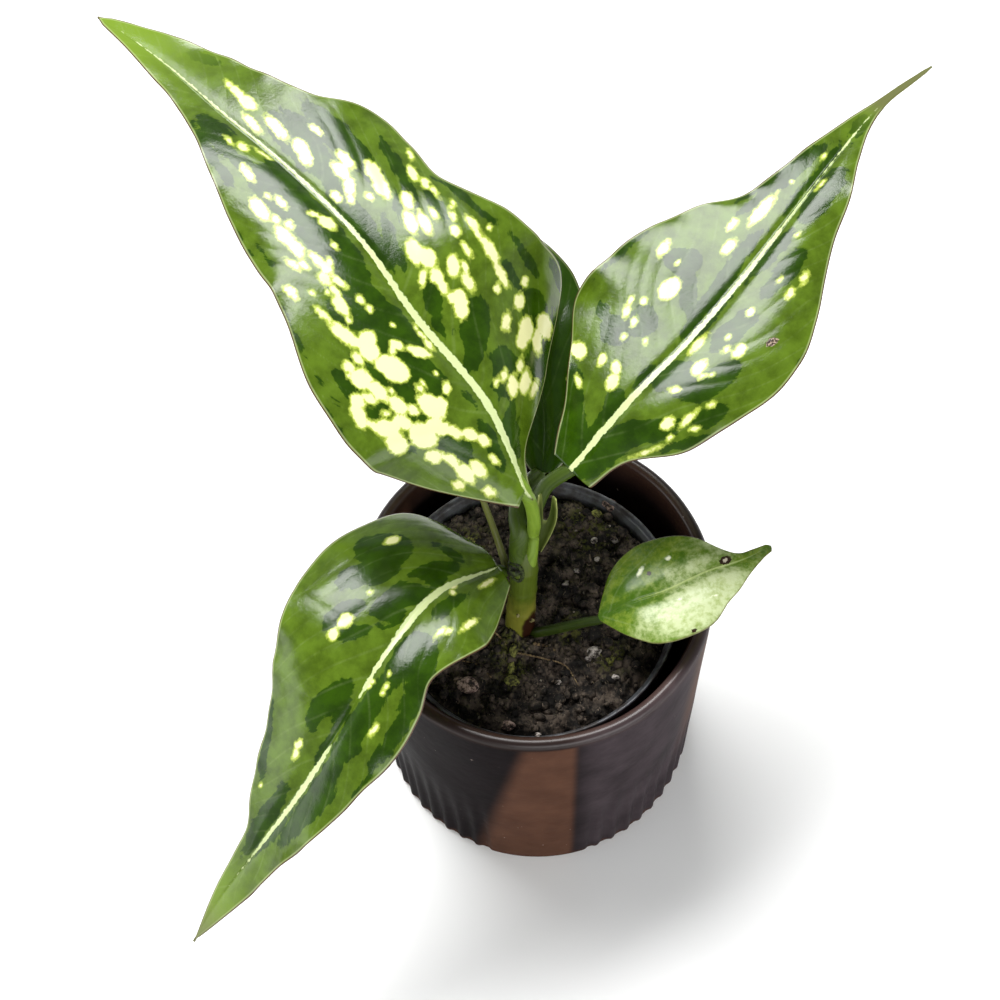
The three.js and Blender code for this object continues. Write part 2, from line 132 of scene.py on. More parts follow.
# spine: points on the midrib. left, right: half widths at even steps along it. fold, curl and arch: how a half
# rises, curls down and bows up, as shares of its width. waves: height, count and phase of the slow rise and
# fall of the margins. lobe: how far the halves reach back past the foot. dry: where the tip starts to dry and
# is dry, and how much. collar: angle of the stalk's foot on the stem's top. stalk: its points after the foot.
# radii: of the stalk, at even steps. rib: width of the pale midrib, at even steps. rib_shift: of that line.
LEAVES = {
    "leaf_1": dict(
        spine=[(-2, -1, 131), (-10, 16, 142), (-25, 34, 151), (-38, 54, 157), (-54, 73, 160), (-70, 91, 160),
               (-86, 110, 159), (-103, 128, 157)],
        left=[3, 21, 29, 31, 29.5, 26, 24, 22, 18.5, 14, 9, 6, 4.5, 2.5, 0.8],
        right=[1.5, 6, 21.5, 40, 37.5, 33.5, 26.5, 27.5, 27, 19, 15.5, 13, 9, 5, 0.8],
        fold_right=[-1.2, 0.1, 0.12, 0.06, 0.08],
        curl_right=[0.3, 0.25, 0.15, 0.03, 0],
        arch_right=[0.22, 0.22, 0.15, 0.05, 0],
        waves=(1.6, 3.2, 0.1),
        lobe=3,
        collar=-40,
        stalk=[(0, 0.2, 113), (-0.2, 0.4, 118), (-0.8, 0.2, 123.5), (-1.6, -0.3, 128)],
        radii=[1.6, 1.6, 1.6, 1.5, 0.9],
        rib=[1, 1.8, 1.6, 1.3, 0.9, 0.6, 0.5, 0.3, -0.8],
        rib_shift=0.4,
        arch=0.22),
    "leaf_2": dict(
        spine=[(9, 10, 121), (23, 21, 132), (38, 33, 139), (52, 47, 144), (65, 62, 148), (78, 78, 150),
               (91, 94, 149), (106, 108, 146)],
        left=[6, 12.5, 20.5, 29.5, 30, 28.5, 26, 21, 12.5, 9, 6.5, 4, 1.6, 0.9, 0.5],
        right=[6.5, 9.5, 18, 21, 24.5, 24.5, 21, 16, 12, 9.5, 5.5, 2.5, 1.2, 1, 0.5],
        waves=(1.2, 2.6, 0.4),
        collar=80,
        dry=(0.8, 0.86, 1),
        stalk=[(0, 5.5, 109), (3.4, 9.4, 115)],
        radii=[1.6, 1.9, 1.6, 1, 0.6],
        rib=[1.4, 1.7, 1.3, 1.2, 0.9, 0.1, 0.4, -0.4, -1],
        rib_shift=0.1,
        arch=0.12,
        fold_left=[0.05, 0, -0.04, -0.04, 0.1],
        curl_left=[0.1, 0.02, 0, 0, 0.05],
        arch_left=[0, 0, 0]),
    "leaf_3": dict(
        spine=[(-9, -3, 99), (-24, -12, 104), (-36, -26, 103), (-47, -41, 96), (-58, -52, 84), (-69, -60, 71),
               (-80, -67, 57), (-90, -75, 42)],
        left=[6, 15, 18, 17, 13.5, 15, 15, 13, 11.5, 10, 8, 7, 5.5, 3, 0],
        right=[9, 24, 27.5, 29, 28.5, 26, 23.5, 19.5, 15.5, 12, 6.5, 4.5, 3, 1.5, 0],
        waves=(1.2, 2.4, 0.7),
        dry=(0.86, 0.98, 0.75),
        stalk=[(-7.7, -2.9, 94.6), (-8.5, -3, 96.8)],
        radii=[1.3, 1.3, 1.2, 0.9, 0.6],
        rib=[0.3, 1.2, 1.8, 2.1, 1.2, 0.8, -1, 1, 1.3, 1.1, 0.7, 0.1, -0.4, -1, -1],
        rib_shift=-0.2,
        arch=0.12),
    "leaf_4": dict(
        spine=[(15, -13, 88), (23, -11, 92), (32, -9, 94), (42, -5, 95), (51, -2, 94), (59, 3, 91)],
        left=[1, 9, 12, 14, 14.5, 13.5, 10.5, 5.5, 2.2, 1.5, 1],
        right=[1, 7, 11, 13, 13.5, 13, 10.5, 8, 4.2, 2.2, 1.2],
        waves=(0.5, 2.2, 0.2),
        dry=(0.9, 1.05, 0.4),
        stalk=[(-1.6, -9.8, 74.6), (0.4, -10.8, 77), (6.4, -11.8, 81.2), (11.6, -12.3, 84.4)],
        radii=[1.35, 1.3, 1.15, 0.8, 0.5],
        rib=[-0.8, -0.4, 0.5, 0.5, 0.3, -0.3]),
    "leaf_5": dict(
        spine=[(3, 15, 112), (4, 27, 118), (3, 40, 124), (2, 53, 128), (-1, 66, 130), (-5, 80, 131)],
        left=[3, 8, 11, 12.5, 13, 12.5, 11, 9, 6, 3, 0],
        right=[3, 8, 11.5, 13.5, 14.5, 14.5, 13.5, 12.5, 9.5, 5, 0],
        waves=(0.9, 2.2, 0.3),
        collar=200,
        stalk=[(-3.6, 5.5, 108.5), (-2, 11, 110.5)],
        radii=[1.8, 2.4, 2.2, 1.3, 0.6],
        # leaf_5 has no pale midrib: it is left out, as part of the leaf's painted shade
        rib=[-1, -1, -1, -1, -1]),
}

# Marks on the leaves: place along the midrib, distance out from it, length, width, and how far the length
# leans outwards from the midrib in degrees. "spots" are cream, "dark" are deep green patches on the paler
# blade, "pale" are paler patches that lie over the dark ones, and "specks" are dry scabs.
MARKS = {
    ("leaf_1", "left"): dict(
        spots=[(4.5, 7.6, 2.8, 1.4, 50), (8.2, 13.6, 2.8, 1.6, 50), (9.8, 11.3, 5, 3, 30),
               (13.6, 13.2, 5, 2, 25), (9.4, 8.3, 4.6, 2.8, 25), (9.6, 4, 2.4, 1.3, 20),
               (17, 16.7, 4.4, 3, 30), (15.3, 14.4, 3.5, 1.2, 30), (14.8, 4.7, 3.6, 2.4, 25),
               (17.4, 7, 4, 2.6, 45), (20.4, 10.4, 6.5, 2.4, 30), (22.6, 12.4, 5, 3.2, 40),
               (24, 16.9, 9, 5.2, 15), (24.6, 13.8, 5, 4.4, 80), (28.8, 11.4, 8, 4.6, 12),
               (28, 9.2, 3.2, 2.6, 0), (27, 22.6, 7.5, 4.2, 5), (31.6, 22.4, 6, 4, 30),
               (34.4, 24.3, 4, 1.7, 20), (30.4, 18.9, 5, 2.8, 25), (34.2, 17.4, 5, 3.2, 5),
               (31.2, 15.5, 3.2, 1.9, 15), (34.8, 20.7, 2, 1.4, 30), (38, 25.2, 5.4, 2.8, -12),
               (40.3, 23.6, 3.2, 3, -30), (39.2, 21, 3.2, 1.9, 20), (39.4, 18.6, 5.6, 2.8, 12),
               (43.2, 19.6, 4.2, 4, 20), (46.3, 20, 2.4, 2, -10), (45.2, 21.2, 1, 0.9, 0),
               (46.6, 17.3, 2.6, 1.8, 0), (40.8, 12.5, 7.4, 5.2, 15), (42.5, 14.3, 3.4, 2.4, 0),
               (46.6, 14, 5, 4.2, -30), (48.6, 12.6, 3.4, 4, 0), (51.8, 16.4, 8, 2.8, 20), (49, 15, 3, 2, 0),
               (58, 17.8, 4, 1.3, 12), (57.8, 13.3, 5.6, 2.7, 3), (54, 13.7, 1.5, 1.1, 0),
               (54, 8, 1.9, 1.5, 0), (56.7, 8.6, 2.4, 1.7, 10), (48.4, 5.8, 1.1, 0.9, 0),
               (44.3, 8.1, 3, 2.2, 30), (44, 9.6, 1.6, 1.4, 0), (40.4, 5, 5.2, 2.4, 35),
               (40.5, 1.7, 3, 1.6, 0), (43.3, 1.4, 2.4, 1.2, 0), (45.3, 1.3, 1.6, 1, 0),
               (30.2, 5.8, 3, 1.9, -40), (34, 11, 2.4, 1.3, 10), (34.2, 9.6, 1.5, 0.9, 0),
               (37.6, 16.1, 1.5, 1, 0), (34.2, 5.4, 1.1, 0.8, 0), (67.7, 20.8, 5.4, 1.9, 3),
               (64, 17, 1.8, 0.9, 8), (72, 14.8, 3.2, 1.6, 8), (74, 16.3, 4.8, 1.4, 10),
               (62.2, 14.1, 1.5, 1, 0), (61.4, 12.4, 3.4, 1.5, 8), (65.4, 12.8, 4.6, 2.3, 6),
               (63, 10.5, 4.4, 1.7, 14), (68, 11.1, 4.6, 2.2, 5), (71.2, 11.5, 5.6, 1.9, 6),
               (68.6, 9.6, 2.6, 1.6, -15), (72, 6, 2.2, 1, 0), (77.6, 13.2, 7, 2.5, -4),
               (82, 13.2, 6.4, 2.8, -3), (83.4, 10.5, 2.8, 1.8, 0), (86.8, 11.7, 2.3, 1.6, 0),
               (91.8, 12.5, 6.8, 3, -8), (89.4, 7.9, 3.8, 1.7, -5), (92.8, 9, 1.7, 1, 0),
               (101.2, 8.1, 5.6, 1.9, -12), (78.2, 3.3, 5, 2.9, 10), (82, 4.3, 2.6, 1.4, 20),
               (108, 3.7, 3.4, 1.7, -5), (112, 4.8, 2.8, 1, -8), (103.5, 1.5, 3.6, 0.9, 5)],
        dark=[(16, 11.4, 9, 6.4, 25), (13, 3, 14, 3.2, 0), (24, 3, 7, 2.4, 0), (35, 14, 22, 11, 5),
              (37, 22.6, 6, 4.6, 20), (43.8, 23, 6, 3.4, 0), (35, 6.8, 12, 6, 0), (47, 7.5, 18, 12, 0),
              (44, 17.5, 8, 4, 0), (57, 9.5, 16, 12, 5), (56, 15.5, 10, 3, -8), (72, 6.6, 34, 10, -2),
              (90, 5.6, 44, 10.4, -2), (106, 6.8, 34, 8, -8), (112, 10, 22, 3.4, -14),
              (71, 24.2, 40, 1.3, -6), (81.5, 19.3, 6, 1.1, -6), (90, 19.8, 14, 1, -12),
              (48, 29.6, 26, 1.3, -5), (23, 20.6, 6, 2, 10)],
        pale=[(24.6, 6.2, 9, 5.4, 15), (33, 2.7, 12, 3, 0), (107.5, 3.6, 12, 3.8, 2), (103, 10.4, 20, 2, -9),
              (37.8, 21.4, 2.6, 1.6, 30), (116, 2.4, 8, 1.6, 0), (11.4, 6.4, 6, 2, 15)]),
    ("leaf_1", "right"): dict(
        spots=[(22.4, 9, 5, 2.5, 50), (22, 13, 5.8, 2.4, 62), (20.2, 14.8, 4.2, 1.4, 65),
               (24.7, 5.6, 2.3, 1.1, 60), (24.9, 8.3, 2.9, 1.4, 60), (25, 14, 2.9, 1.5, 60),
               (28.6, 18, 3.6, 2.4, 60), (30, 21.2, 6.4, 3.8, 65), (27, 22.8, 5.4, 2.6, 50),
               (28.8, 27.8, 5.4, 4.4, 75), (33.8, 17.3, 4.4, 1.9, 60), (32.5, 16.6, 1.3, 1, 0),
               (35.6, 23.6, 3.9, 2.7, 60), (38.6, 27.9, 2.7, 2, 60), (41.1, 20.2, 2.5, 1.7, 30),
               (44, 23.1, 8, 2.3, 2), (51.6, 23.8, 8, 2.6, 2), (57, 23.4, 4, 1.3, 0),
               (57, 26.8, 1.8, 1.3, 30), (43, 10, 6.6, 3.6, 32), (45.6, 11, 3, 3, 0),
               (46.2, 9.4, 2.8, 1.9, 20), (49.6, 9.2, 4.4, 2, 8), (52.6, 9.4, 4.4, 2.8, 10),
               (57.8, 10, 5.4, 3.8, 0), (60.6, 8.4, 6.6, 3.5, 12), (54.3, 6.7, 3.8, 1.7, 40),
               (47, 14.8, 5.2, 2.5, 5), (52.6, 14, 5.6, 2.9, 25), (51, 16.3, 2.8, 1.5, 10),
               (54.6, 18.9, 3.9, 1.4, 0), (60, 19.2, 2.9, 2.5, 20), (63.4, 20.9, 2.5, 1.4, 10),
               (67, 11.9, 5.8, 2.7, 20), (65.3, 14.4, 5.8, 2.6, 12), (71.8, 14.8, 4.8, 2.7, 35),
               (66, 17.6, 2.9, 1.5, 15), (60, 23.8, 4.2, 2, -5), (70.6, 21.8, 3, 1.1, 15),
               (73.2, 21.6, 3.1, 1.9, 35), (76.8, 21.4, 4.3, 2, 30), (66.3, 23.3, 1.3, 1, 0),
               (65.6, 22, 1.1, 0.9, 0), (81.3, 25, 2.8, 1.2, 25), (77.8, 12.6, 6.6, 3.2, 16),
               (82, 14, 6.6, 3.2, 18), (82.6, 7, 6, 2.6, 35), (87, 8.4, 6, 3, 5), (80, 5.2, 3, 1.7, 30),
               (88.6, 11.3, 6, 2.4, 5), (82.5, 3, 3.4, 2.1, 10), (77.5, 8.7, 2.5, 1.6, 0),
               (95.8, 4.9, 5.6, 2.8, 18), (98.6, 6, 5.4, 3, 10), (107, 5.9, 8.6, 2.5, 8),
               (112.8, 2.9, 7, 1.9, 8), (99.9, 12, 3.8, 1.5, 0), (118.4, 6.3, 6, 3, 3),
               (123.4, 6.7, 8, 1.8, 4)],
        dark=[(17, 4, 18, 4.6, 22), (26, 9, 12, 9, 60), (25, 22, 22, 6, 66), (36.4, 8, 18, 9, 48),
              (32.4, 27, 10, 8, 70), (48, 5.6, 10, 4.6, 22), (41, 2.8, 9, 1.6, 5), (63, 4.6, 18, 4, 18),
              (72, 12.6, 8, 2.8, 38), (67, 19.8, 7, 3.4, 12), (76, 18, 16, 2.6, 25), (84, 20.4, 14, 2.4, 20),
              (103, 10.9, 13, 2.8, -4), (42.5, 25.6, 12, 2.6, 0), (45, 31.5, 18, 2.4, -8), (76, 3, 30, 5, 4),
              (98, 6.2, 28, 8, 4), (93, 14.6, 30, 7, 4), (138, 8.4, 10, 3.6, -20), (66, 26.4, 18, 1.4, -14),
              (36, 38.6, 12, 3, -5)],
        pale=[(19.4, 3.2, 7, 2.4, 48), (17.6, 9.6, 10, 3.8, 55), (27.6, 4.4, 9, 4, 52), (36, 3.4, 9, 2.2, 30),
              (8, 3.4, 6, 1.6, 30), (21, 18.6, 6, 1.2, 70), (42, 7.6, 7, 3.4, 45), (57, 2.6, 10, 1.6, 15)]),
    ("leaf_2", "left"): dict(
        spots=[(22.2, 18.6, 4.9, 3.4, 80), (16.8, 13.1, 3.1, 1.4, 60), (24.2, 12.3, 2.9, 2.1, 20),
               (22.3, 6.4, 4.2, 2.9, 20), (25, 8, 3.4, 2.2, 50), (34.5, 7.6, 1.9, 1.1, 20),
               (37.2, 16.6, 3.7, 1.7, 25), (40.2, 17.7, 2.7, 1.3, 15), (42.2, 15, 2.1, 1.5, 20),
               (36.2, 13.2, 2.3, 1.5, 20), (31.9, 12.5, 1.7, 1.2, 20), (48.9, 12.2, 6.7, 4.3, 0),
               (56.8, 20.1, 5.1, 2.3, 8), (56, 14.9, 1.4, 0.9, 0), (66.5, 7.6, 5, 2.4, 0),
               (72, 10.4, 3.7, 2.1, 0), (79.3, 6.6, 9.8, 2.8, -3), (99.8, 2.5, 2.1, 1, 0),
               (89.5, 5, 1, 0.8, 0)],
        dark=[(4, 4, 20, 9, 30), (13, 12, 16, 7, 45), (8, 2, 20, 3, 0), (19.5, 3, 7, 5, 20),
              (31.6, 15.6, 8, 8.6, 20), (38, 12, 9, 7.6, 20), (33, 21, 6, 4.4, 60), (57, 14.4, 8, 8.4, 30),
              (51, 8, 14, 4, 38), (48, 2.6, 18, 3, 8), (60, 3.2, 26, 4.2, 4), (52, 27.4, 18, 2.2, -6),
              (78, 10.2, 10, 1.7, -12), (82, 11.6, 8, 1.1, -22), (93, 6.6, 22, 5.6, -18),
              (92, 1.6, 26, 2.6, -2), (28, 1.6, 8, 2, 0), (113, 0.8, 10, 1.6, 0)],
        pale=[(79, 5, 16, 6.4, -6), (103, 2.4, 22, 1.6, -2), (36.6, 13, 3.4, 1.6, 20), (16, 7, 8, 5, 60)]),
    ("leaf_2", "right"): dict(
        spots=[(41.8, 2.7, 5.1, 1.8, 2), (30.5, 6.8, 2.5, 1.5, 40), (37.8, 7.3, 4.1, 2.6, 5),
               (36.7, 9.4, 1.7, 1, 0), (44.6, 9.1, 2.1, 1.4, 20), (46.2, 11.8, 3.5, 2.4, 0),
               (47, 7.5, 1.3, 1, 0), (54.9, 7.4, 2.3, 1.5, 0), (64.1, 11.9, 2.9, 1.6, -5),
               (69.2, 12, 3.1, 1.5, -15), (65.6, 7.9, 1.5, 0.8, 0), (23.9, 11.2, 3.7, 2.5, 10),
               (27.9, 14, 4.7, 1.5, 5), (21.7, 13.7, 1.4, 0.9, 20), (27.3, 16.4, 2.1, 1, 30),
               (33.7, 15.6, 1.9, 1.1, 15), (77.5, 4.6, 1.4, 1, 0), (92.4, 1.4, 2.7, 0.8, 8),
               (15, 11.2, 5.5, 0.7, 30), (38.3, 10.8, 1.2, 1, 0)],
        dark=[(8, 3.6, 22, 7.6, 14), (20, 9.6, 16, 5.6, 36), (33, 5.4, 12, 9.6, 60), (37, 12, 14, 6.4, 18),
              (49, 7.4, 14, 6.2, 10), (50, 0.8, 14, 1.8, 0), (67.5, 7.6, 16, 5, 0), (31.4, 17, 8, 3.8, 25),
              (23, 17, 12, 2.2, 32), (70, 2.2, 16, 3.6, 5), (90, 3.4, 20, 6.2, 0), (113, 0.8, 12, 2, 0),
              (55, 23.6, 14, 1.1, -12)],
        pale=[(24, 4.4, 14, 5, 34), (58, 3.6, 20, 2.6, 10)],
        specks=[(52, 16.2, 3.2, 2, 20)]),
    ("leaf_3", "left"): dict(
        spots=[(18.5, 11.7, 7, 1.4, 2), (24.9, 9.7, 2.3, 1.1, 0), (26.7, 8.3, 2.9, 1.1, -5),
               (5.6, 3.6, 4.3, 1.4, 12), (15.2, 2.4, 1.9, 1.3, 60), (13.9, 1.1, 1.5, 1.4, 0),
               (54.2, 7.5, 2.5, 1.2, 0), (44.4, 4.9, 1.4, 1, 0), (46, 5, 0.9, 0.7, 0), (45, 1.2, 0.9, 0.9, 0),
               (46.2, 1, 1.1, 1, 0), (41.5, 3.9, 1, 0.7, 0)],
        dark=[(19, 4.8, 13, 4.2, 0), (38, 7.8, 20, 12, 10), (50, 12.4, 22, 3.6, -4), (56, 3.6, 32, 6.4, 0),
              (74, 5, 34, 6.6, -3), (92, 1.6, 26, 2.6, 0), (66, 12, 14, 1, -4)],
        pale=[(49, 8.2, 16, 3.2, 0), (64, 8.4, 12, 5, -6), (106, 3, 26, 5, -4)]),
    ("leaf_3", "right"): dict(
        spots=[(36.5, 12.1, 3.7, 3.1, 20), (40.5, 12.7, 2.7, 2.5, 0), (28.1, 11.6, 1.3, 1.2, 0),
               (17.3, 18, 2.5, 2, 60), (68, 6.5, 2.4, 1.7, 0), (70.6, 5.8, 2.7, 1.5, -5),
               (84.8, 9, 0.9, 0.7, 0)],
        dark=[(21, 4.6, 24, 7.6, 4), (30, 5, 8, 8, 0), (25, 15, 15, 6.6, 42), (19.6, 17, 14, 8.6, 78),
              (9.6, 7, 8, 3, 62), (37.4, 8.4, 10, 3.6, 45), (35.4, 13.4, 11, 5, 28), (55, 5.2, 17, 7.4, 14),
              (90, 2.9, 24, 4.6, -4), (75, 14.4, 24, 2.6, -28), (62, 0.6, 16, 2, 0)],
        pale=[(20, 5.2, 5, 1.2, 62), (33.2, 7.6, 6, 1.5, 72), (60.4, 3.4, 9, 2.6, 0)]),
    # leaf_5's dark patch covers its whole blade: painted shade, as it lies in the shadow of the leaves before
    # it
    ("leaf_5", "left"): dict(
        spots=[(30, 8, 1.2, 1, 0), (26, 5, 1, 0.8, 0), (15, 4, 1, 0.7, 0)],
        dark=[(30, 0, 90, 50, 0)],
        pale=[]),
    ("leaf_5", "right"): dict(
        spots=[(22, 7, 1.4, 1, 20), (40, 5, 1.2, 0.8, 0)],
        dark=[(30, 0, 90, 50, 0)],
        pale=[]),
    ("leaf_4", "left"): dict(
        spots=[(13.4, 6.6, 4.6, 1.4, 38), (22.4, 7.2, 2.4, 1.3, 10)],
        dark=[(7, 0.6, 22, 3, 3), (25.3, 5.5, 3.4, 2.2, 0), (10, 5, 9, 3, 30)],
        pale=[(27, 2.6, 18, 4, 4), (34, 6.4, 12, 4, -16)],
        specks=[(15.6, 5.4, 1.3, 1.1, 0), (34.8, 1.2, 3.2, 2.2, 10)]),
    ("leaf_4", "right"): dict(
        spots=[(20, 4, 2.4, 0.8, 20), (28, 7, 3, 0.8, 10)],
        dark=[(6, 0.6, 20, 2.2, 4), (18, 3.2, 3, 1.2, 30)],
        pale=[(25, 7, 34, 13, -4)],
        specks=[(19.8, 12.6, 1.1, 0.9, 0)]),
}

# ---- curves and fields ------------------------------------------------------------------------------


def even_curve(values, t):
    """A smooth curve through values at even steps from t = 0 to 1: between two values it is the cubic whose
    slopes are half the difference of the neighbours, and the ends are carried on in a straight line."""
    v = np.asarray(values, float)
    flat = v.ndim == 1
    v = v.reshape(len(v), -1)
    last = len(v) - 1
    place = np.clip(np.atleast_1d(t), 0, 1) * last
    i = np.minimum(place.astype(int), last - 1)
    u = (place - i)[:, None]
    v = np.vstack([2 * v[0] - v[1], v, 2 * v[-1] - v[-2]])
    before, start, end, after = v[i], v[i + 1], v[i + 2], v[i + 3]
    leaving, arriving = (end - before) / 2, (after - start) / 2
    cubic, square = 2 * start - 2 * end + leaving + arriving, 3 * (end - start) - 2 * leaving - arriving
    made = (cubic * u + square) * u ** 2 + leaving * u + start
    return made[:, 0] if flat else made


def walk(points):
    """The distance along a path from its first point to each of its points."""
    return np.concatenate([[0], np.cumsum(np.linalg.norm(np.diff(points, axis=0), axis=1))])


def path_through(points, count):
    """count points at even distances along a smooth curve through the points, whose parameter grows with the
    square root of their spacing, so that it doesn't overshoot where they are uneven."""
    p = np.asarray(points, float)
    p = np.vstack([2 * p[0] - p[1], p, 2 * p[-1] - p[-2]])
    knots = np.concatenate([[0], np.cumsum(np.linalg.norm(np.diff(p, axis=0), axis=1) ** 0.5)])
    t = np.linspace(knots[1], knots[-2], 40 * len(p))
    i = np.clip(np.searchsorted(knots, t, side="right") - 1, 1, len(p) - 3)
    t = t[:, None]
    k = [knots[i + j][:, None] for j in (-1, 0, 1, 2)]
    q = [p[i + j] for j in (-1, 0, 1, 2)]
    level = [((k[j + 1] - t) * q[j] + (t - k[j]) * q[j + 1]) / (k[j + 1] - k[j]) for j in range(3)]
    level = [((k[j + 2] - t) * level[j] + (t - k[j]) * level[j + 1]) / (k[j + 2] - k[j]) for j in range(2)]
    dense = ((k[2] - t) * level[0] + (t - k[1]) * level[1]) / (k[2] - k[1])
    walked = walk(dense)
    even = np.linspace(0, walked[-1], count)
    return np.stack([np.interp(even, walked, dense[:, axis]) for axis in range(3)], 1)


def waves(x, y, wavelength, seed, count=24):
    """Soft random relief between about -1 and 1: the sum of count flat waves in random directions with
    wavelengths within a third of the given one, divided by the square root of half their number."""
    random = np.random.default_rng(seed)
    turn, phase = random.uniform(0, 2 * math.pi, (2, count))
    reach = 2 * math.pi / (wavelength * random.uniform(0.7, 1.35, count))
    made = np.zeros(np.broadcast(x, y).shape)
    for a, p, r in zip(turn, phase, reach):
        made += np.sin(r * (np.cos(a) * x + np.sin(a) * y) + p)
    return made / math.sqrt(count / 2)


def smooth_step(x, low, high):
    """0 below low, 1 above high, and between them 3u^2 - 2u^3."""
    u = np.clip((np.asarray(x, float) - low) / (high - low), 0, 1)
    return u * u * (3 - 2 * u)


def inside_marks(along, out, marks):
    """About how many millimetres a place lies inside the nearest of the marks, each an ellipse: half the
    mark's width times one minus the place's distance from its centre, measured in half axes. It is less than
    nothing outside a mark, and never less than -3."""
    best = np.full(np.broadcast(along, out).shape, -3.0)
    for centre, away, length, width, lean in marks:
        c, s = math.cos(math.radians(lean)), math.sin(math.radians(lean))
        du, dv = along - centre, out - away
        r = np.hypot((du * c + dv * s) / (length / 2), (dv * c - du * s) / (width / 2))
        best = np.maximum(best, (1 - r) * min(width, length) / 2)
    return best


# ---- meshes -----------------------------------------------------------------------------------------


def grid_quads(rows, columns):
    """The four corners of each cell of a grid of rows x columns points that are counted row by row, where
    each row closes on itself."""
    i, j = np.meshgrid(np.arange(rows - 1), np.arange(columns), indexing="ij")
    j2 = (j + 1) % columns
    quads = np.stack([i * columns + j, i * columns + j2, (i + 1) * columns + j2, (i + 1) * columns + j], -1)
    return quads.reshape(-1, 4)


def fan(ring, middle, turned):
    """Triangles from a ring of point numbers to one point in its middle."""
    ring = np.asarray(ring)
    after = np.roll(ring, -1)
    pair = (after, ring) if turned else (ring, after)
    return np.stack([*pair, np.full(len(ring), middle)], 1)


def add_piece(name, points, faces, material, replaces, slot, uv=None, fields=None):
    """Puts points in millimetres and arrays of triangles and quads into a new mesh piece in metres, with its
    UV map, fields and material, and hides the nodes of model.glb that it stands for. slot is not used."""
    mesh = bpy.data.meshes.new(name)
    sizes = np.concatenate([np.full(len(f), f.shape[1]) for f in faces])
    corners = np.concatenate([f.ravel() for f in faces]).astype(np.int32)
    mesh.vertices.add(len(points))
    mesh.vertices.foreach_set("co", (points * MM).ravel().astype(np.float32))
    mesh.loops.add(len(corners))
    mesh.loops.foreach_set("vertex_index", corners)
    mesh.polygons.add(len(sizes))
    mesh.polygons.foreach_set("loop_start", np.concatenate([[0], np.cumsum(sizes)[:-1]]).astype(np.int32))
    mesh.polygons.foreach_set("use_smooth", np.ones(len(sizes), bool))
    mesh.update(calc_edges=True)
    if uv is not None:
        layer = mesh.uv_layers.new(name="surface")
        layer.data.foreach_set("uv", (np.asarray(uv)[corners] * MM).ravel().astype(np.float32))
    for field, values in (fields or {}).items():
        made = mesh.attributes.new(field, "FLOAT", "POINT")
        made.data.foreach_set("value", np.asarray(values, np.float32).ravel())
    mesh.validate()
    piece = bpy.data.objects.new(name, mesh)
    bpy.context.scene.collection.objects.link(piece)
    mesh.materials.append(material)
    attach(piece, "root")
    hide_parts(*replaces)
    return piece


def turned_surface(profile, segments, centre=(0, 0), move=None):
    """A profile of radii and heights carried round the Z axis: a point is the centre plus the radius times
    (cos, sin) of the angle. move may change the radii, given radius, height and angle. The first and last
    points of the profile lie on the axis and close it."""
    profile = np.asarray(profile, float)
    angle = np.linspace(0, 2 * math.pi, segments, endpoint=False)
    radius = np.repeat(profile[1:-1, :1], segments, 1)
    height = np.repeat(profile[1:-1, 1:], segments, 1)
    if move:
        radius, height = move(radius, height, angle[None, :])
    ring = np.stack([centre[0] + radius * np.cos(angle), centre[1] + radius * np.sin(angle), height], -1)
    points = np.vstack([ring.reshape(-1, 3), [[*centre, profile[0, 1]], [*centre, profile[-1, 1]]]])
    rows = len(profile) - 2
    quads = grid_quads(rows, segments)
    first = fan(np.arange(segments), rows * segments, True)
    last = fan(np.arange(segments) + (rows - 1) * segments, rows * segments + 1, False)
    uv = np.stack([radius * angle, height], -1).reshape(-1, 2)
    return points, [quads, first, last], np.vstack([uv, [[0, 0], [0, 0]]])


def tube(path, radii, sides=24, shape=None, reference=(0, 1, 0.2)):
    """A closed tube: at each point of the path a ring of the given radius in the plane across the path, whose
    zero angle faces the reference direction. shape may scale the radii, given places along and angles."""
    path = np.asarray(path, float)
    forward = np.gradient(path, axis=0)
    forward /= np.linalg.norm(forward, axis=1)[:, None]
    across = np.cross(forward, np.asarray(reference, float))
    across /= np.linalg.norm(across, axis=1)[:, None]
    facing = np.cross(across, forward)
    angle = np.linspace(0, 2 * math.pi, sides, endpoint=False)
    radius = np.repeat(np.asarray(radii, float)[:, None], sides, 1)
    if shape:
        radius = radius * shape(np.linspace(0, 1, len(path))[:, None], angle[None, :])
    ring = path[:, None] + radius[..., None] * (
        facing[:, None] * np.cos(angle)[None, :, None] + across[:, None] * np.sin(angle)[None, :, None])
    rows = len(path)
    points = np.vstack([ring.reshape(-1, 3), path[:1], path[-1:]])
    start = np.arange(sides)
    faces = [grid_quads(rows, sides)[:, ::-1], fan(start, rows * sides, False),
             fan(start + (rows - 1) * sides, rows * sides + 1, True)]
    walked = walk(path)
    uv = np.stack(np.broadcast_arrays(walked[:, None], radius * (angle - math.pi)), -1).reshape(-1, 2)
    return points, faces, np.vstack([uv, [[0, 0], [walked[-1], 0]]])


# ---- materials --------------------------------------------------------------------------------------


def colour(code):
    """A colour from its sRGB code such as #4f8a24, as linear red, green, blue and one."""
    parts = np.array([int(code[i:i + 2], 16) for i in (1, 3, 5)]) / 255
    linear = np.where(parts <= 0.04045, parts / 12.92, ((parts + 0.055) / 1.055) ** 2.4)
    return (*linear.tolist(), 1.0)


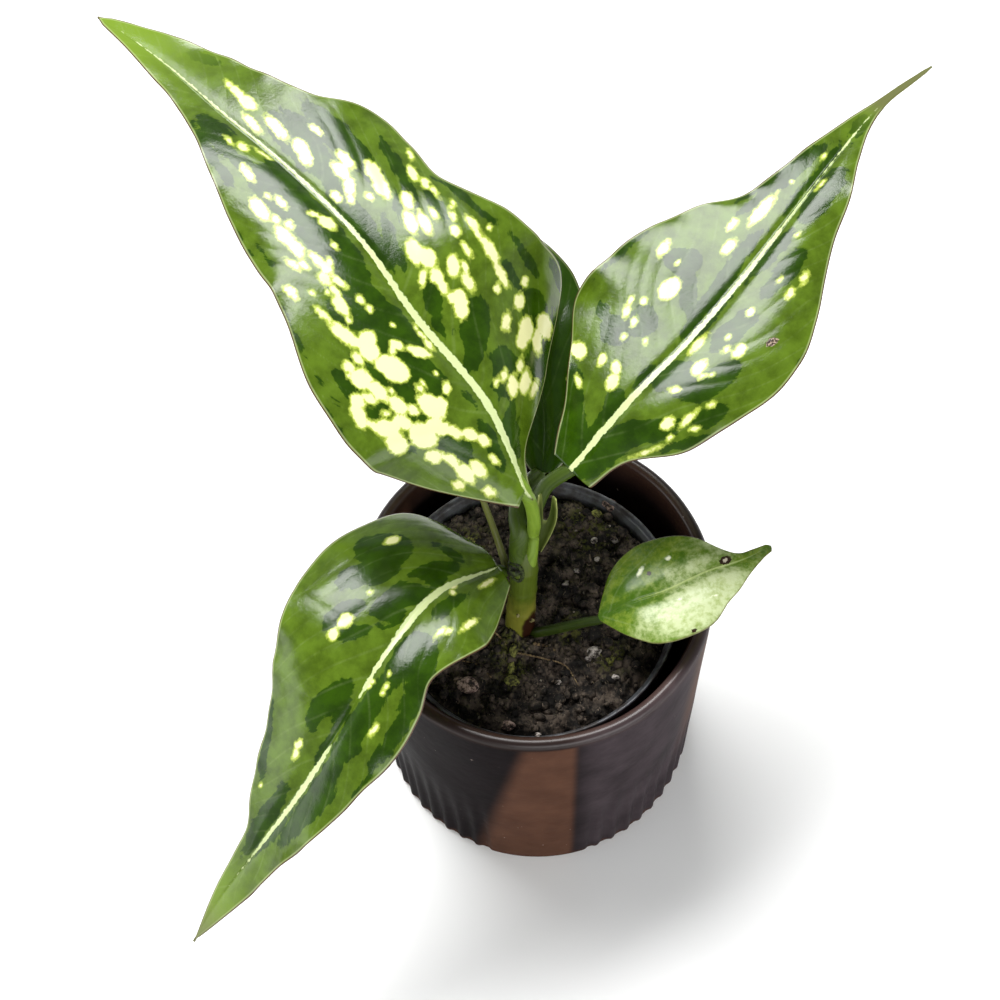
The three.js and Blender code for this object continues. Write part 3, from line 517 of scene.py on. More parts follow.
def add_node(tree, kind, output=0, **given):
    """Adds one node and gives back one of its outputs. Names in small letters are the node's own settings;
    n0, n1 and so on and names with a capital are its inputs, each a socket to link or a value."""
    node = tree.nodes.new("ShaderNode" + kind)
    inputs = {key: value for key, value in given.items() if key[0].isupper() or key[1:].isdigit()}
    for key, value in given.items():
        if key not in inputs:
            setattr(node, key, value)
    for key, value in inputs.items():
        socket = node.inputs[int(key[1:]) if key[1:].isdigit() else key.replace("_", " ")]
        if isinstance(value, bpy.types.NodeSocket):
            tree.links.new(value, socket)
        else:
            socket.default_value = value
    return node.outputs[output] if len(node.outputs) else node


def new_material(name):
    """An empty material, and add_node for its nodes."""
    made = bpy.data.materials.new(name)
    made.use_nodes = True
    made.node_tree.nodes.clear()
    return made, partial(add_node, made.node_tree)


# Settings that many nodes share: a soft step from 0 to 1, a mix of two colours, whose share is n0 and whose
# colours are n6 and n7, n0 times n1 plus n2, and n0 times n1. Patterns on the blades read millimetres, so that
# a Scale of 0.5 makes cells of 2 mm, and the others read metres, so that a Scale of 500 does.
STEP = dict(interpolation_type="SMOOTHSTEP")
MIX = dict(output=2, data_type="RGBA")
TIMES_PLUS = dict(operation="MULTIPLY_ADD")
TIMES = dict(operation="MULTIPLY")


def leaf_material(finish):
    """Living leaf skin of a Chinese evergreen, grown with a waxy cuticle that gives it a wet gloss: deep
    green with paler jagged patches and cream spots. The mesh carries how far inside each mark a point lies,
    in mm."""
    made, add = new_material("waxy_variegated_leaf")
    mesh = {name: add("Attribute", "Fac", attribute_name=name) for name in LEAF_FIELDS}
    vein = add("CombineXYZ", X=mesh["vein"], Y=mesh["out"], Z=mesh["leaf"])
    stretched = add("VectorMath", operation="MULTIPLY", n0=vein, n1=(1.0, 0.5, 1.0))
    surface = add("UVMap", uv_map="surface")
    place = add("VectorMath", **TIMES_PLUS, n0=surface, n1=(1000, 1000, 1), n2=mesh["leaf"])
    # jagged borders, as the pigment follows the cells: teeth of 1.3 mm, others of 1.5 mm drawn out to 3 mm
    # away from the midrib, and bays of 5 mm
    teeth = add("TexNoise", Vector=stretched, Scale=0.66, Detail=3.0, Roughness=0.6)
    bays = add("TexNoise", Vector=place, Scale=0.2, Detail=2.0)
    ragged = add("TexNoise", Vector=place, Scale=0.75, Detail=3.0, Roughness=0.6)
    patch = add("Math", **TIMES_PLUS, n0=teeth, n1=1.2, n2=mesh["patch"])
    patch = add("Math", **TIMES_PLUS, n0=ragged, n1=1.0, n2=patch)
    patch = add("Math", **TIMES_PLUS, n0=bays, n1=2.6, n2=patch)
    spot = add("Math", **TIMES_PLUS, n0=teeth, n1=0.3, n2=mesh["spot"])
    spot = add("Math", **TIMES_PLUS, n0=ragged, n1=1.5, n2=spot)
    # the green varies over 5 mm and less, so that a patch isn't one flat tone
    cloud = add("TexNoise", Vector=place, Scale=0.2, Detail=4.0, Roughness=0.6)
    tone = add("MapRange", **STEP, Value=cloud, From_Min=0.28, From_Max=0.72)
    dark = add("Mix", **MIX, n0=tone, n6=finish["dark_low"], n7=finish["dark_high"])
    pale = add("Mix", **MIX, n0=tone, n6=finish["pale_low"], n7=finish["pale_high"])
    pale = add("Mix", **MIX, n0=mesh["tip"], n6=pale, n7=finish["tip"])
    dark = add("Mix", **MIX, n0=mesh["tip"], n6=dark, n7=finish["tip"])
    border = add("MapRange", **STEP, Value=patch, From_Min=2.25, From_Max=2.55)
    skin = add("Mix", **MIX, n0=border, n6=dark, n7=pale)
    # side veins show as faint light threads, stronger where the green is thin
    thread = add("MapRange", **STEP, Value=mesh["line"], From_Min=-0.3, From_Max=0.3, To_Max=0.06)
    thread = add("Math", **TIMES, n0=thread, n1=tone)
    skin = add("Mix", **MIX, n0=thread, n6=skin, n7=finish["rib"])
    halo = add("MapRange", **STEP, Value=spot, From_Min=0.35, From_Max=0.95)
    skin = add("Mix", **MIX, n0=halo, n6=skin, n7=finish["spot_edge"])
    cream = add("MapRange", **STEP, Value=spot, From_Min=0.82, From_Max=1.2)
    skin = add("Mix", **MIX, n0=cream, n6=skin, n7=finish["spot"])
    rib = add("Math", **TIMES_PLUS, n0=ragged, n1=1.2, n2=mesh["rib"])
    rib = add("MapRange", **STEP, Value=rib, From_Min=0.48, From_Max=0.72)
    skin = add("Mix", **MIX, n0=rib, n6=skin, n7=finish["rib"])
    # the margin has a pale line up to 0.8 mm from the edge, a painted highlight of the thin translucent edge,
    # and its last 0.4 mm dries to a brown thread
    rim = add("MapRange", **STEP, Value=mesh["rim"], From_Min=0.8, From_Max=0.5, To_Max=0.5)
    skin = add("Mix", **MIX, n0=rim, n6=skin, n7=finish["rim"])
    thread = add("MapRange", **STEP, Value=mesh["rim"], From_Min=0.42, From_Max=0.22)
    skin = add("Mix", **MIX, n0=thread, n6=skin, n7=finish["margin"])
    skin = add("Mix", **MIX, n0=mesh["dry"], n6=skin, n7=finish["dry"])
    # painted shade: the fifth leaf, behind the others, is darkened towards deep green, as it lies in their
    # shadow
    shaded = add("MapRange", **STEP, Value=mesh["leaf"], From_Min=4.5 * PATTERN_STEP,
                 From_Max=4.6 * PATTERN_STEP, To_Max=0.55)
    skin = add("Mix", **MIX, n0=shaded, n6=skin, n7=finish["dark_low"])
    # dust and scars: brown grains 0.4 mm across
    grains = add("TexNoise", Vector=place, Scale=2.4, Detail=2.0)
    grains = add("MapRange", **STEP, Value=grains, From_Min=0.42, From_Max=0.6)
    scab = add("Mix", **MIX, n0=grains, n6=colour("#24170e"), n7=colour("#a08d7c"))
    speck = add("Math", **TIMES_PLUS, n0=ragged, n1=1.6, n2=mesh["speck"])
    speck = add("MapRange", **STEP, Value=speck, From_Min=0.85, From_Max=1.0)
    skin = add("Mix", **MIX, n0=speck, n6=skin, n7=scab)
    back = add("Math", **TIMES, n0=mesh["back"], n1=0.45)
    skin = add("Mix", **MIX, n0=back, n6=skin, n7=finish["back"])
    # relief of 0.9 mm and a grain of 0.3 mm, 0.04 mm deep, make the gloss leathery
    fine = add("TexNoise", Vector=place, Scale=1.1, Detail=3.0, Roughness=0.65)
    grain = add("TexNoise", Vector=place, Scale=3.0, Detail=1.0)
    height = add("Math", **TIMES_PLUS, n0=grain, n1=0.3, n2=fine)
    rough = add("Math", **TIMES_PLUS, n0=fine, n1=0.14, n2=0.09)
    relief = add("Bump", Strength=1.0, Distance=0.00004, Height=height)
    shader = add("BsdfPrincipled", Base_Color=skin, Roughness=rough, IOR=1.38, Normal=relief)
    add("OutputMaterial", Surface=shader)
    return made


def young_leaf_material():
    """Skin of the youngest leaf, grown thin and shiny: yellow-green, cream where it isn't coloured yet, with
    the green coming in as mottles of 1.7 mm."""
    made, add = new_material("waxy_young_leaf")
    mesh = {name: add("Attribute", "Fac", attribute_name=name) for name in LEAF_FIELDS}
    surface = add("UVMap", uv_map="surface")
    place = add("VectorMath", **TIMES_PLUS, n0=surface, n1=(1000, 1000, 1), n2=mesh["leaf"])
    mottle = add("TexNoise", Vector=place, Scale=0.6, Detail=5.0, Roughness=0.65)
    cloud = add("TexNoise", Vector=place, Scale=0.16, Detail=2.0)
    green = add("MapRange", **STEP, Value=mottle, From_Min=0.34, From_Max=0.7)
    green = add("Mix", **MIX, n0=green, n6=colour("#4f6e16"), n7=colour("#7a8e30"))
    cream = add("MapRange", **STEP, Value=mottle, From_Min=0.3, From_Max=0.6)
    cream = add("Mix", **MIX, n0=cream, n6=colour("#95a562"), n7=colour("#bac597"))
    # borders melt into each other over 3 mm, and the mottles reach across them
    border = add("Math", **TIMES_PLUS, n0=mottle, n1=4.0, n2=mesh["pale"])
    border = add("Math", **TIMES_PLUS, n0=cloud, n1=5.0, n2=border)
    light = add("MapRange", **STEP, Value=border, From_Min=2.6, From_Max=7.6)
    skin = add("Mix", **MIX, n0=light, n6=green, n7=cream)
    border = add("Math", **TIMES_PLUS, n0=mottle, n1=4.0, n2=mesh["patch"])
    deep = add("MapRange", **STEP, Value=border, From_Min=3.4, From_Max=1.0, To_Max=0.85)
    skin = add("Mix", **MIX, n0=deep, n6=skin, n7=colour("#3f6013"))
    spot = add("Math", **TIMES_PLUS, n0=mottle, n1=1.4, n2=mesh["spot"])
    spot = add("MapRange", **STEP, Value=spot, From_Min=0.6, From_Max=1.15)
    skin = add("Mix", **MIX, n0=spot, n6=skin, n7=colour("#f0f3d6"))
    thread = add("MapRange", **STEP, Value=mesh["line"], From_Min=-0.3, From_Max=0.3, To_Max=0.07)
    skin = add("Mix", **MIX, n0=thread, n6=skin, n7=colour("#d5deaa"))
    rib = add("MapRange", **STEP, Value=mesh["rib"], From_Min=-0.2, From_Max=0.3, To_Max=0.55)
    skin = add("Mix", **MIX, n0=rib, n6=skin, n7=colour("#c3d08c"))
    rim = add("MapRange", **STEP, Value=mesh["rim"], From_Min=0.45, From_Max=0.15, To_Max=0.75)
    skin = add("Mix", **MIX, n0=rim, n6=skin, n7=colour("#5b5530"))
    # a healed sting is a brown ring with dry whitish grains 0.5 mm wide in it, and a small one is all brown
    grains = add("TexNoise", Vector=place, Scale=2.0, Detail=2.0)
    speck = add("Math", **TIMES_PLUS, n0=grains, n1=0.8, n2=mesh["speck"])
    dry = add("MapRange", **STEP, Value=speck, From_Min=0.95, From_Max=1.15)
    scab = add("Mix", **MIX, n0=dry, n6=colour("#2c1f12"), n7=colour("#c2b8a4"))
    speck = add("MapRange", **STEP, Value=speck, From_Min=0.3, From_Max=0.5)
    skin = add("Mix", **MIX, n0=speck, n6=skin, n7=scab)
    fine = add("TexNoise", Vector=place, Scale=1.1, Detail=3.0, Roughness=0.65)
    relief = add("Bump", Strength=1.0, Distance=0.00004, Height=fine)
    rough = add("Math", **TIMES_PLUS, n0=fine, n1=0.16, n2=0.18)
    shader = add("BsdfPrincipled", Base_Color=skin, Roughness=rough, IOR=1.33, Normal=relief)
    add("OutputMaterial", Surface=shader)
    return made


# green and dried skins of the stem and the stalks: a fibre's dark and light side, where the skin yellows, and
# old tissue
STALK_SKINS = {
    "evergreen_stem_skin": ("#33430d", "#5b6a1c", "#75752a", "#2a1409"),
    "torn_leaf_sheath": ("#2b360f", "#46521c", "#646e34", "#98a05c"),
    "dry_papery_stalk": ("#4a4d20", "#757a40", "#858a52", "#4a3a18"),
    "evergreen_stalk_skin": ("#55701c", "#7f9a34", "#93a545", "#4a3a18"),
    # the two darker stalk skins below are painted shade: the same stalk skin darkened for stalks in the
    # leaves' shadow
    "evergreen_sheath_skin": ("#26380c", "#4a5e18", "#56691f", "#3a2e12"),
    "evergreen_petiole_skin": ("#1b2807", "#33430f", "#62662c", "#4a3a18"),
}


def stalk_material(name):
    """Smooth green stalk skin, grown in fibres that run along it, 0.7 mm wide, which streak its green: where
    the field scar rises it yellows and then turns to the colour of old tissue, with a torn border."""
    made, add = new_material(name)
    low, high, yellowed, old = (colour(code) for code in STALK_SKINS[name])
    place = add("UVMap", uv_map="surface")
    along = add("VectorMath", operation="MULTIPLY", n0=place, n1=(60.0, 1400.0, 1.0))
    fibres = add("TexNoise", Vector=along, Scale=1.0, Detail=3.0, Roughness=0.6)
    cloud = add("TexNoise", Vector=place, Scale=260.0, Detail=4.0, Roughness=0.6)
    scar = add("Attribute", "Fac", attribute_name="scar")
    scar = add("Math", **TIMES_PLUS, n0=cloud, n1=0.5, n2=scar)
    skin = add("Mix", **MIX, n0=fibres, n6=low, n7=high)
    yellow = add("MapRange", **STEP, Value=scar, From_Min=0.25, From_Max=0.65)
    skin = add("Mix", **MIX, n0=yellow, n6=skin, n7=yellowed)
    dead = add("MapRange", **STEP, Value=scar, From_Min=0.75, From_Max=1.0)
    skin = add("Mix", **MIX, n0=dead, n6=skin, n7=old)
    rough = add("Math", **TIMES_PLUS, n0=fibres, n1=0.14, n2=0.32)
    relief = add("Bump", Strength=1.0, Distance=0.00015, Height=fibres)
    shader = add("BsdfPrincipled", Base_Color=skin, Roughness=rough, IOR=1.32, Normal=relief)
    add("OutputMaterial", Surface=shader)
    return made


def glaze_material(finish):
    """Stoneware dipped in a reactive glaze: purple-black in clouds of 11 mm, broken to warm brown where it ran
    thin, on the back, the inner wall and the lip, with warm brown on the front, the right side and the foot
    that is a painted reflection of the floor, a greyer painted reflection on the right side, and a glossy bead
    on the lip where it pooled."""
    made, add = new_material("reactive_glazed_stoneware")
    place = add("TexCoord", "Object")
    mesh = {name: add("Attribute", "Fac", attribute_name=name) for name in ("brown", "bloom", "lip")}
    mottle = add("TexNoise", Vector=place, Scale=90.0, Detail=4.0, Roughness=0.6)
    skin = add("Mix", **MIX, n0=mottle, n6=finish["glaze_low"], n7=finish["glaze_high"])
    # painted reflection: the glaze is painted greyer on its right side, where it reads lighter
    bloom = add("Math", **TIMES, n0=mesh["bloom"], n1=mottle)
    skin = add("Mix", **MIX, n0=bloom, n6=skin, n7=finish["bloom"])
    # the brown field paints brown glaze, and on the front, the right side and the foot a painted reflection of
    # a warm floor
    brown = add("Mix", **MIX, n0=mottle, n6=finish["brown_low"], n7=finish["brown_high"])
    skin = add("Mix", **MIX, n0=mesh["brown"], n6=skin, n7=brown)
    # a few pinholes where gas left the glaze, 0.5 mm wide, and an uneven coat with waves of 4 mm
    pits = add("TexNoise", Vector=place, Scale=700.0, Detail=1.0)
    holes = add("MapRange", **STEP, Value=pits, From_Min=0.8, From_Max=0.84, To_Max=0.8)
    skin = add("Mix", **MIX, n0=holes, n6=skin, n7=colour("#8f7f78"))
    uneven = add("TexNoise", Vector=place, Scale=260.0, Detail=2.0)
    relief = add("Bump", Strength=1.0, Distance=0.00008, Height=uneven)
    rough = add("Math", **TIMES_PLUS, n0=mottle, n1=0.14, n2=0.3)
    shader = add("BsdfPrincipled", Base_Color=skin, Roughness=rough, IOR=1.04, Normal=relief,
                 Coat_Weight=mesh["lip"], Coat_Roughness=0.3, Coat_IOR=1.45)
    add("OutputMaterial", Surface=shader)
    return made


def plastic_material():
    """Thin polypropylene nursery pot, injection moulded: grey and satin, dusty with peat in clouds of
    6 mm."""
    made, add = new_material("moulded_polypropylene")
    place = add("TexCoord", "Object")
    dust = add("TexNoise", Vector=place, Scale=160.0, Detail=4.0, Roughness=0.65)
    dust = add("MapRange", **STEP, Value=dust, From_Min=0.4, From_Max=0.62, To_Max=0.85)
    skin = add("Mix", **MIX, n0=dust, n6=colour("#54565a"), n7=colour("#2a221d"))
    rough = add("Math", **TIMES_PLUS, n0=dust, n1=0.3, n2=0.36)
    shader = add("BsdfPrincipled", Base_Color=skin, Roughness=rough, IOR=1.49)
    add("OutputMaterial", Surface=shader)
    return made


def soil_material():
    """Moist peat compost, milled and pressed in by hand: near black clumps of 4 mm and grains of 1.2 mm with
    browner fibres, and a green film where algae grew."""
    made, add = new_material("peat_compost")
    place = add("TexCoord", "Object")
    clump = add("TexNoise", Vector=place, Scale=230.0, Detail=4.0, Roughness=0.62)
    grain = add("TexNoise", Vector=place, Scale=800.0, Detail=3.0, Roughness=0.65)
    brown = add("MapRange", **STEP, Value=clump, From_Min=0.4, From_Max=0.66)
    skin = add("Mix", **MIX, n0=brown, n6=colour("#14110e"), n7=colour("#5a4f45"))
    dark = add("MapRange", **STEP, Value=grain, From_Min=0.48, From_Max=0.38, To_Max=0.8)
    skin = add("Mix", **MIX, n0=dark, n6=skin, n7=colour("#0c0907"))
    # fibres 0.3 mm thick, pale where they dried
    drawn = add("VectorMath", operation="MULTIPLY", n0=place, n1=(1.0, 0.25, 1.0))
    strands = add("TexNoise", Vector=drawn, Scale=1100.0, Detail=2.0, Distortion=1.2)
    strands = add("MapRange", **STEP, Value=strands, From_Min=0.63, From_Max=0.72, To_Max=0.55)
    skin = add("Mix", **MIX, n0=strands, n6=skin, n7=colour("#8d7d6b"))
    film = add("MapRange", **STEP, Value=grain, From_Min=0.42, From_Max=0.6)
    film = add("Math", **TIMES, n0=film, n1=add("Attribute", "Fac", attribute_name="algae"))
    skin = add("Mix", **MIX, n0=film, n6=skin, n7=colour("#5c5f24"))
    height = add("Math", **TIMES_PLUS, n0=clump, n1=1.5, n2=grain)
    relief = add("Bump", Strength=1.0, Distance=0.0005, Height=height)
    shader = add("BsdfPrincipled", Base_Color=skin, Roughness=0.8, IOR=1.33, Normal=relief)
    add("OutputMaterial", Surface=shader)
    return made


def grit_material(name, low, high, roughness):
    """Loose pieces in the compost, broken mineral, bark or dry skin: matte, pitted every millimetre, and
    darker in the pits."""
    made, add = new_material(name)
    place = add("TexCoord", "Object")
    cloud = add("TexNoise", Vector=place, Scale=900.0, Detail=4.0, Roughness=0.7)
    light = add("MapRange", **STEP, Value=cloud, From_Min=0.4, From_Max=0.66)
    skin = add("Mix", **MIX, n0=light, n6=colour(low), n7=colour(high))
    pits = add("MapRange", **STEP, Value=cloud, From_Min=0.46, From_Max=0.38)
    skin = add("Mix", **MIX, n0=pits, n6=skin, n7=colour("#17110d"))
    relief = add("Bump", Strength=1.0, Distance=0.0007, Height=cloud)
    shader = add("BsdfPrincipled", Base_Color=skin, Roughness=roughness, IOR=1.4, Normal=relief)
    add("OutputMaterial", Surface=shader)
    return made


def floor_material():
    """A painted studio board, rolled in two coats: matte and near white, even but for clouds of 25 cm."""
    made, add = new_material("matte_painted_board")
    cloud = add("TexNoise", Vector=add("TexCoord", "Object"), Scale=4.0, Detail=2.0)
    skin = add("Mix", **MIX, n0=cloud, n6=colour("#f4f4f3"), n7=colour("#f8f8f7"))
    shader = add("BsdfPrincipled", Base_Color=skin, Roughness=0.9, IOR=1.4)
    add("OutputMaterial", Surface=shader)
    return made


# ---- leaves -----------------------------------------------------------------------------------------


def leaf_frame(leaf, t):
    """The midrib's points at t and its directions there: forward, right and up out of the face."""
    middle = even_curve(leaf["spine"], t)
    before, after = (even_curve(leaf["spine"], np.clip(t + step, 0, 1)) for step in (-0.001, 0.001))
    forward = after - before
    forward /= np.linalg.norm(forward, axis=1)[:, None]
    right = np.cross(forward, (0, 0, 1))
    right /= np.linalg.norm(right, axis=1)[:, None]
    return middle, forward, right, np.cross(right, forward)


def blade_half(name, leaf, t, parts, side):
    """One half of a blade's upper face. A point lies on the midrib at t, plus the half width times its part
    from 0 on the midrib to 1 on the margin to the side, plus a rise of the width times (fold part - curl
    part^2) and a slow wave that grows towards the margin. The midrib is a shallow groove, the skin bulges
    between the side veins, the halves bow up, and the margin has a small ripple. Returns points, normals,
    thicknesses, UV places and fields, all in mm."""
    key = "right" if side > 0 else "left"
    number = int(name[-1])
    middle, forward, right, up = leaf_frame(leaf, t)
    blunt = np.sqrt(np.clip((1 - t) / 0.02, 0, 1))  # rounds the last fiftieth of the tip
    half = np.maximum(even_curve(leaf[key], t) * blunt, BLADE["narrowest"])[:, None]
    edge = np.minimum(BLADE["margin"], 0.6 * half)
    rounded = np.array([0.4, 0.72, 0.92, 1.0])  # places across the margin's rounded edge
    out = np.concatenate([(half - edge) * parts[None, :], half - edge + edge * rounded[None, :]], 1)
    part = out / half
    walked = walk(middle)[:, None]
    # the side veins leave the midrib at about 45 degrees, sweep forward and wander a little
    vein = walked - 1.05 * out - 0.8 * out ** 2 / np.maximum(half, 4) + 40 * (side < 0)
    vein = vein + 1.6 * waves(walked, out, 34, 40 + number, 12)
    rib_half = even_curve(leaf["rib"], t)[:, None] * 0.5
    fold = even_curve(leaf.get("fold_" + key, FOLD), t)[:, None]
    curl = even_curve(leaf.get("curl_" + key, CURL), t)[:, None]
    arch = even_curve(leaf.get("arch_" + key, [leaf.get("arch", 0)] * 2), t)[:, None]
    height, count, phase = leaf["waves"]
    wave = height * np.sin(2 * math.pi * (count * t + phase)) * np.sin(math.pi * t)
    rise = half * (fold * part - curl * part ** 2) + wave[:, None] * part ** 2 * np.minimum(half / 10, 1)
    grow = smooth_step(half, 2, 9)  # the relief fades out where the blade is narrow
    bulge = 1 - np.abs(np.sin(math.pi * vein / BLADE["vein_step"])) ** 0.7
    bulge = bulge * np.sin(math.pi * np.clip(part, 0, 1)) * np.minimum(half / 20, 1)
    rise = rise - grow * BLADE["bulge"] * bulge
    bow = BLADE["bow"]
    rise = rise + grow * arch * bow * (1 - np.exp(-out / bow) - (1 - np.exp(-half / bow)) * part ** 2)
    groove = BLADE["groove"] * np.exp(-(out / 1.6) ** 2)
    rise = rise - grow * (groove - BLADE["ridge"] * np.exp(-(out / np.maximum(rib_half, 0.25)) ** 2))
    ripple = part ** 6 * waves(walked, np.zeros(1), 13, 5 + 3 * side + number, 10)
    rise = rise + grow * BLADE["ripple"] * ripple
    point = middle[:, None] + (side * out)[..., None] * right[:, None] + rise[..., None] * up[:, None]
    reach = leaf.get("lobe", 0) * part * ((1 - t) ** 10)[:, None]
    point = point - reach[..., None] * forward[:, None]
    tilt = fold - 2 * curl * part
    normal = up[:, None] - (side * tilt)[..., None] * right[:, None]
    normal = normal / np.linalg.norm(normal, axis=2)[..., None]
    rim = np.clip((half - out) / edge, 0, 1)
    thickness = (BLADE["thin"] + BLADE["thick"] * (1 - part ** 2)) * np.sqrt(1 - (1 - rim) ** 2)
    place = {"along": np.broadcast_to(walked, out.shape), "side": side * out}
    marks = MARKS[name, key]
    along = walked / walked[-1]
    start, end, most = leaf.get("dry", (1, 2, 0))
    pale = inside_marks(walked, out, marks["pale"])
    step = BLADE["vein_step"]
    fields = {
        "spot": inside_marks(walked, out, marks["spots"]),
        "speck": inside_marks(walked, out, marks.get("specks", [])),
        "patch": np.maximum(-inside_marks(walked, out, marks["dark"]), pale),
        "pale": pale,
        "rib": rib_half - np.abs(side * out - leaf.get("rib_shift", 0)),
        "line": 0.3 - 0.7 * step * np.abs((vein / step + 0.5) % 1 - 0.5),
        "rim": half - out,
        "vein": vein,
        "out": out,
        "tip": np.broadcast_to(smooth_step(along, *YELLOW_TIP), out.shape),
        "dry": np.broadcast_to(most * smooth_step(along, start, end), out.shape),
    }
    return point, normal, thickness, place, fields


def closed_sheet(top, low):
    """A closed thin body from the grids of its upper and lower faces, which share their first and last
    columns; the first and last rows are joined by narrow quads."""
    rows, wide = top.shape[:2]
    upper = np.arange(rows * wide).reshape(rows, wide)
    lower = upper.copy()
    lower[:, 1:-1] = rows * wide + np.arange(rows * (wide - 2)).reshape(rows, -1)

    def quads(n, turned):
        """The cells of a grid of point numbers."""
        cells = np.stack([n[:-1, :-1], n[:-1, 1:], n[1:, 1:], n[1:, :-1]], -1).reshape(-1, 4)
        return cells[:, ::-1] if turned else cells

    faces = [quads(upper, False), quads(lower, True)]
    for row, turned in ((0, False), (rows - 1, True)):
        a, b = upper[row], lower[row]
        end = np.stack([a[1:-2], b[1:-2], b[2:-1], a[2:-1]], -1)
        corners = np.array([[a[0], b[1], a[1]], [a[-2], b[-2], a[-1]]])
        faces += [end[:, ::-1] if turned else end, corners[:, ::-1] if turned else corners]
    return np.vstack([top.reshape(-1, 3), low[:, 1:-1].reshape(-1, 3)]), faces


def on_both_faces(values):
    """Values on the grid of a sheet's upper face, and again for its lower face, in closed_sheet's order."""
    return np.concatenate([values.ravel(), values[:, 1:-1].ravel()])


def blade(name, leaf, rows=300, columns=64):
    """A closed blade: both halves' upper faces, sunk by half the skin at the margin, and under them the lower
    face at the skin's thickness, which falls to nothing round the margin."""
    t = np.linspace(0, 1, rows) ** 0.97
    parts = np.linspace(0, 1, columns) ** 1.15
    left = blade_half(name, leaf, t, parts, -1)
    right = blade_half(name, leaf, t, parts, 1)

    def across(a, b):
        """The left half's grid and the right half's as one, which share the midrib."""
        return np.concatenate([a[:, ::-1], b[:, 1:]], 1)

    top, normal, thickness = (across(left[i], right[i]) for i in range(3))
    thin = BLADE["thin"]
    top = top - normal * (0.5 * thin * (1 - np.minimum(thickness / thin, 1)))[..., None]
    low = top - normal * thickness[..., None]
    points, faces = closed_sheet(top, low)
    uv = np.stack([on_both_faces(across(left[3][way], right[3][way])) for way in ("along", "side")], 1)
    fields = {field: on_both_faces(across(left[4][field], right[4][field])) for field in left[4]}
    fields["back"] = np.repeat([0.0, 1.0], [top[..., 0].size, len(points) - top[..., 0].size])
    fields["leaf"] = np.full(len(points), PATTERN_STEP * int(name[-1]))
    return points, faces, uv, fields


def collar_foot(angle):
    """The foot of a leaf stalk, from deep inside the stem to 3 mm above its top face, at an angle round it."""
    under, top = np.array(STEM_AXIS[-2], float), np.array(STEM_AXIS[-1], float)
    up = (top - under) / np.linalg.norm(top - under)
    right = np.cross((0, 1, 0), up)
    right /= np.linalg.norm(right)
    back = np.cross(up, right)
    turn = math.radians(angle)
    foot = top + up * GAP + COLLAR * (math.cos(turn) * right + math.sin(turn) * back)
    return [top + 0.35 * (foot - top) - up * 16, foot - up * 4, foot + up * 3]


def stalk_of(leaf, count=160):
    """A leaf's stalk, which runs on under the blade as its raised midrib: its path and its radii. Under the
    blade a radius is held to the depth below the midrib, less 0.55 mm for the skin."""
    foot = collar_foot(leaf["collar"]) if "collar" in leaf else []
    under = np.array([0.02, 0.15, 0.3, 0.45, 0.62, 0.8])  # places along the midrib
    depth = np.array([1.9, 1.6, 1.35, 1.15, 1.0, 0.85])  # of the stalk's axis below it there
    middle, _, _, up = leaf_frame(leaf, under)
    ribs = middle - up * depth[:, None]
    path = path_through([*foot, *leaf["stalk"], *ribs], count)
    share = walk(path_through([*foot, *leaf["stalk"], *ribs[:4]], count))[-1] / walk(path)[-1]
    place = np.linspace(0, 1, count)
    radii = np.where(place < share, even_curve(leaf["radii"], place / share),
                     leaf["radii"][-1] * (1 - 0.75 * (place - share) / (1 - share)))
    middle, _, _, up = leaf_frame(leaf, np.linspace(0, 0.8, 400))
    nearest = np.linalg.norm(path[:, None] - middle[None], axis=2).argmin(1)
    below = ((middle[nearest] - path) * up[nearest]).sum(1)
    under_blade = (np.linalg.norm(path - middle[nearest], axis=1) < 3) & (nearest > 0)
    return path, np.where(under_blade, np.clip(radii, 0.15, np.maximum(below - 0.55, 0.15)), radii)


# ---- settings ---------------------------------------------------------------------------------------


def tone(name, code, about):
    """A colour property from an sRGB code."""
    return FloatVectorProperty(name=name, description=about, default=colour(code), size=4, min=0, max=1,
                               subtype="COLOR")


def power(name, watts, about, most):
    """A lamp's power as a property."""
    return FloatProperty(name=name, description=about, default=watts, min=0, max=most, unit="POWER")


def settings_colours(settings):
    """The colours of a settings group, by name."""
    return {key: tuple(getattr(settings, key)) for key in settings.__annotations__
            if len(np.shape(getattr(settings, key))) == 1}


class EvergreenLeafSettings(bpy.types.PropertyGroup):
    """Colours of the leaves, and how finely their blades are divided"""
    dark_low: tone("Deep green", "#1b3201", "Deep green of the dark patches")
    dark_high: tone("Deep green, lighter", "#2a4602", "Lighter streaks in the dark patches")
    pale_low: tone("Fresh green", "#3b4f0a", "Green of the paler patches")
    pale_high: tone("Fresh green, lighter", "#536c18", "Lighter streaks in the paler patches")
    tip: tone("Tip", "#6a8522", "Yellow-green of the leaf tips")
    spot: tone("Spot", "#e0dea4", "Cream of the spots")
    spot_edge: tone("Spot edge", "#a5b448", "Yellow-green halo of the spots")
    rib: tone("Midrib", "#bfcb92", "Pale line of the midrib")
    # the margin's light line is a painted highlight of the translucent edge
    rim: tone("Margin", "#a9b47c", "Thin light line of the margin")
    margin: tone("Margin thread", "#4a3420", "Brown thread outside the margin's light line")
    dry: tone("Dry tip", "#5f6238", "Greyish olive of the tips that dried")
    back: tone("Underside", "#5f7a3c", "Paler tone of the undersides")
    rows: IntProperty(name="Rows", description="Points along a blade", default=300, min=40, max=400)


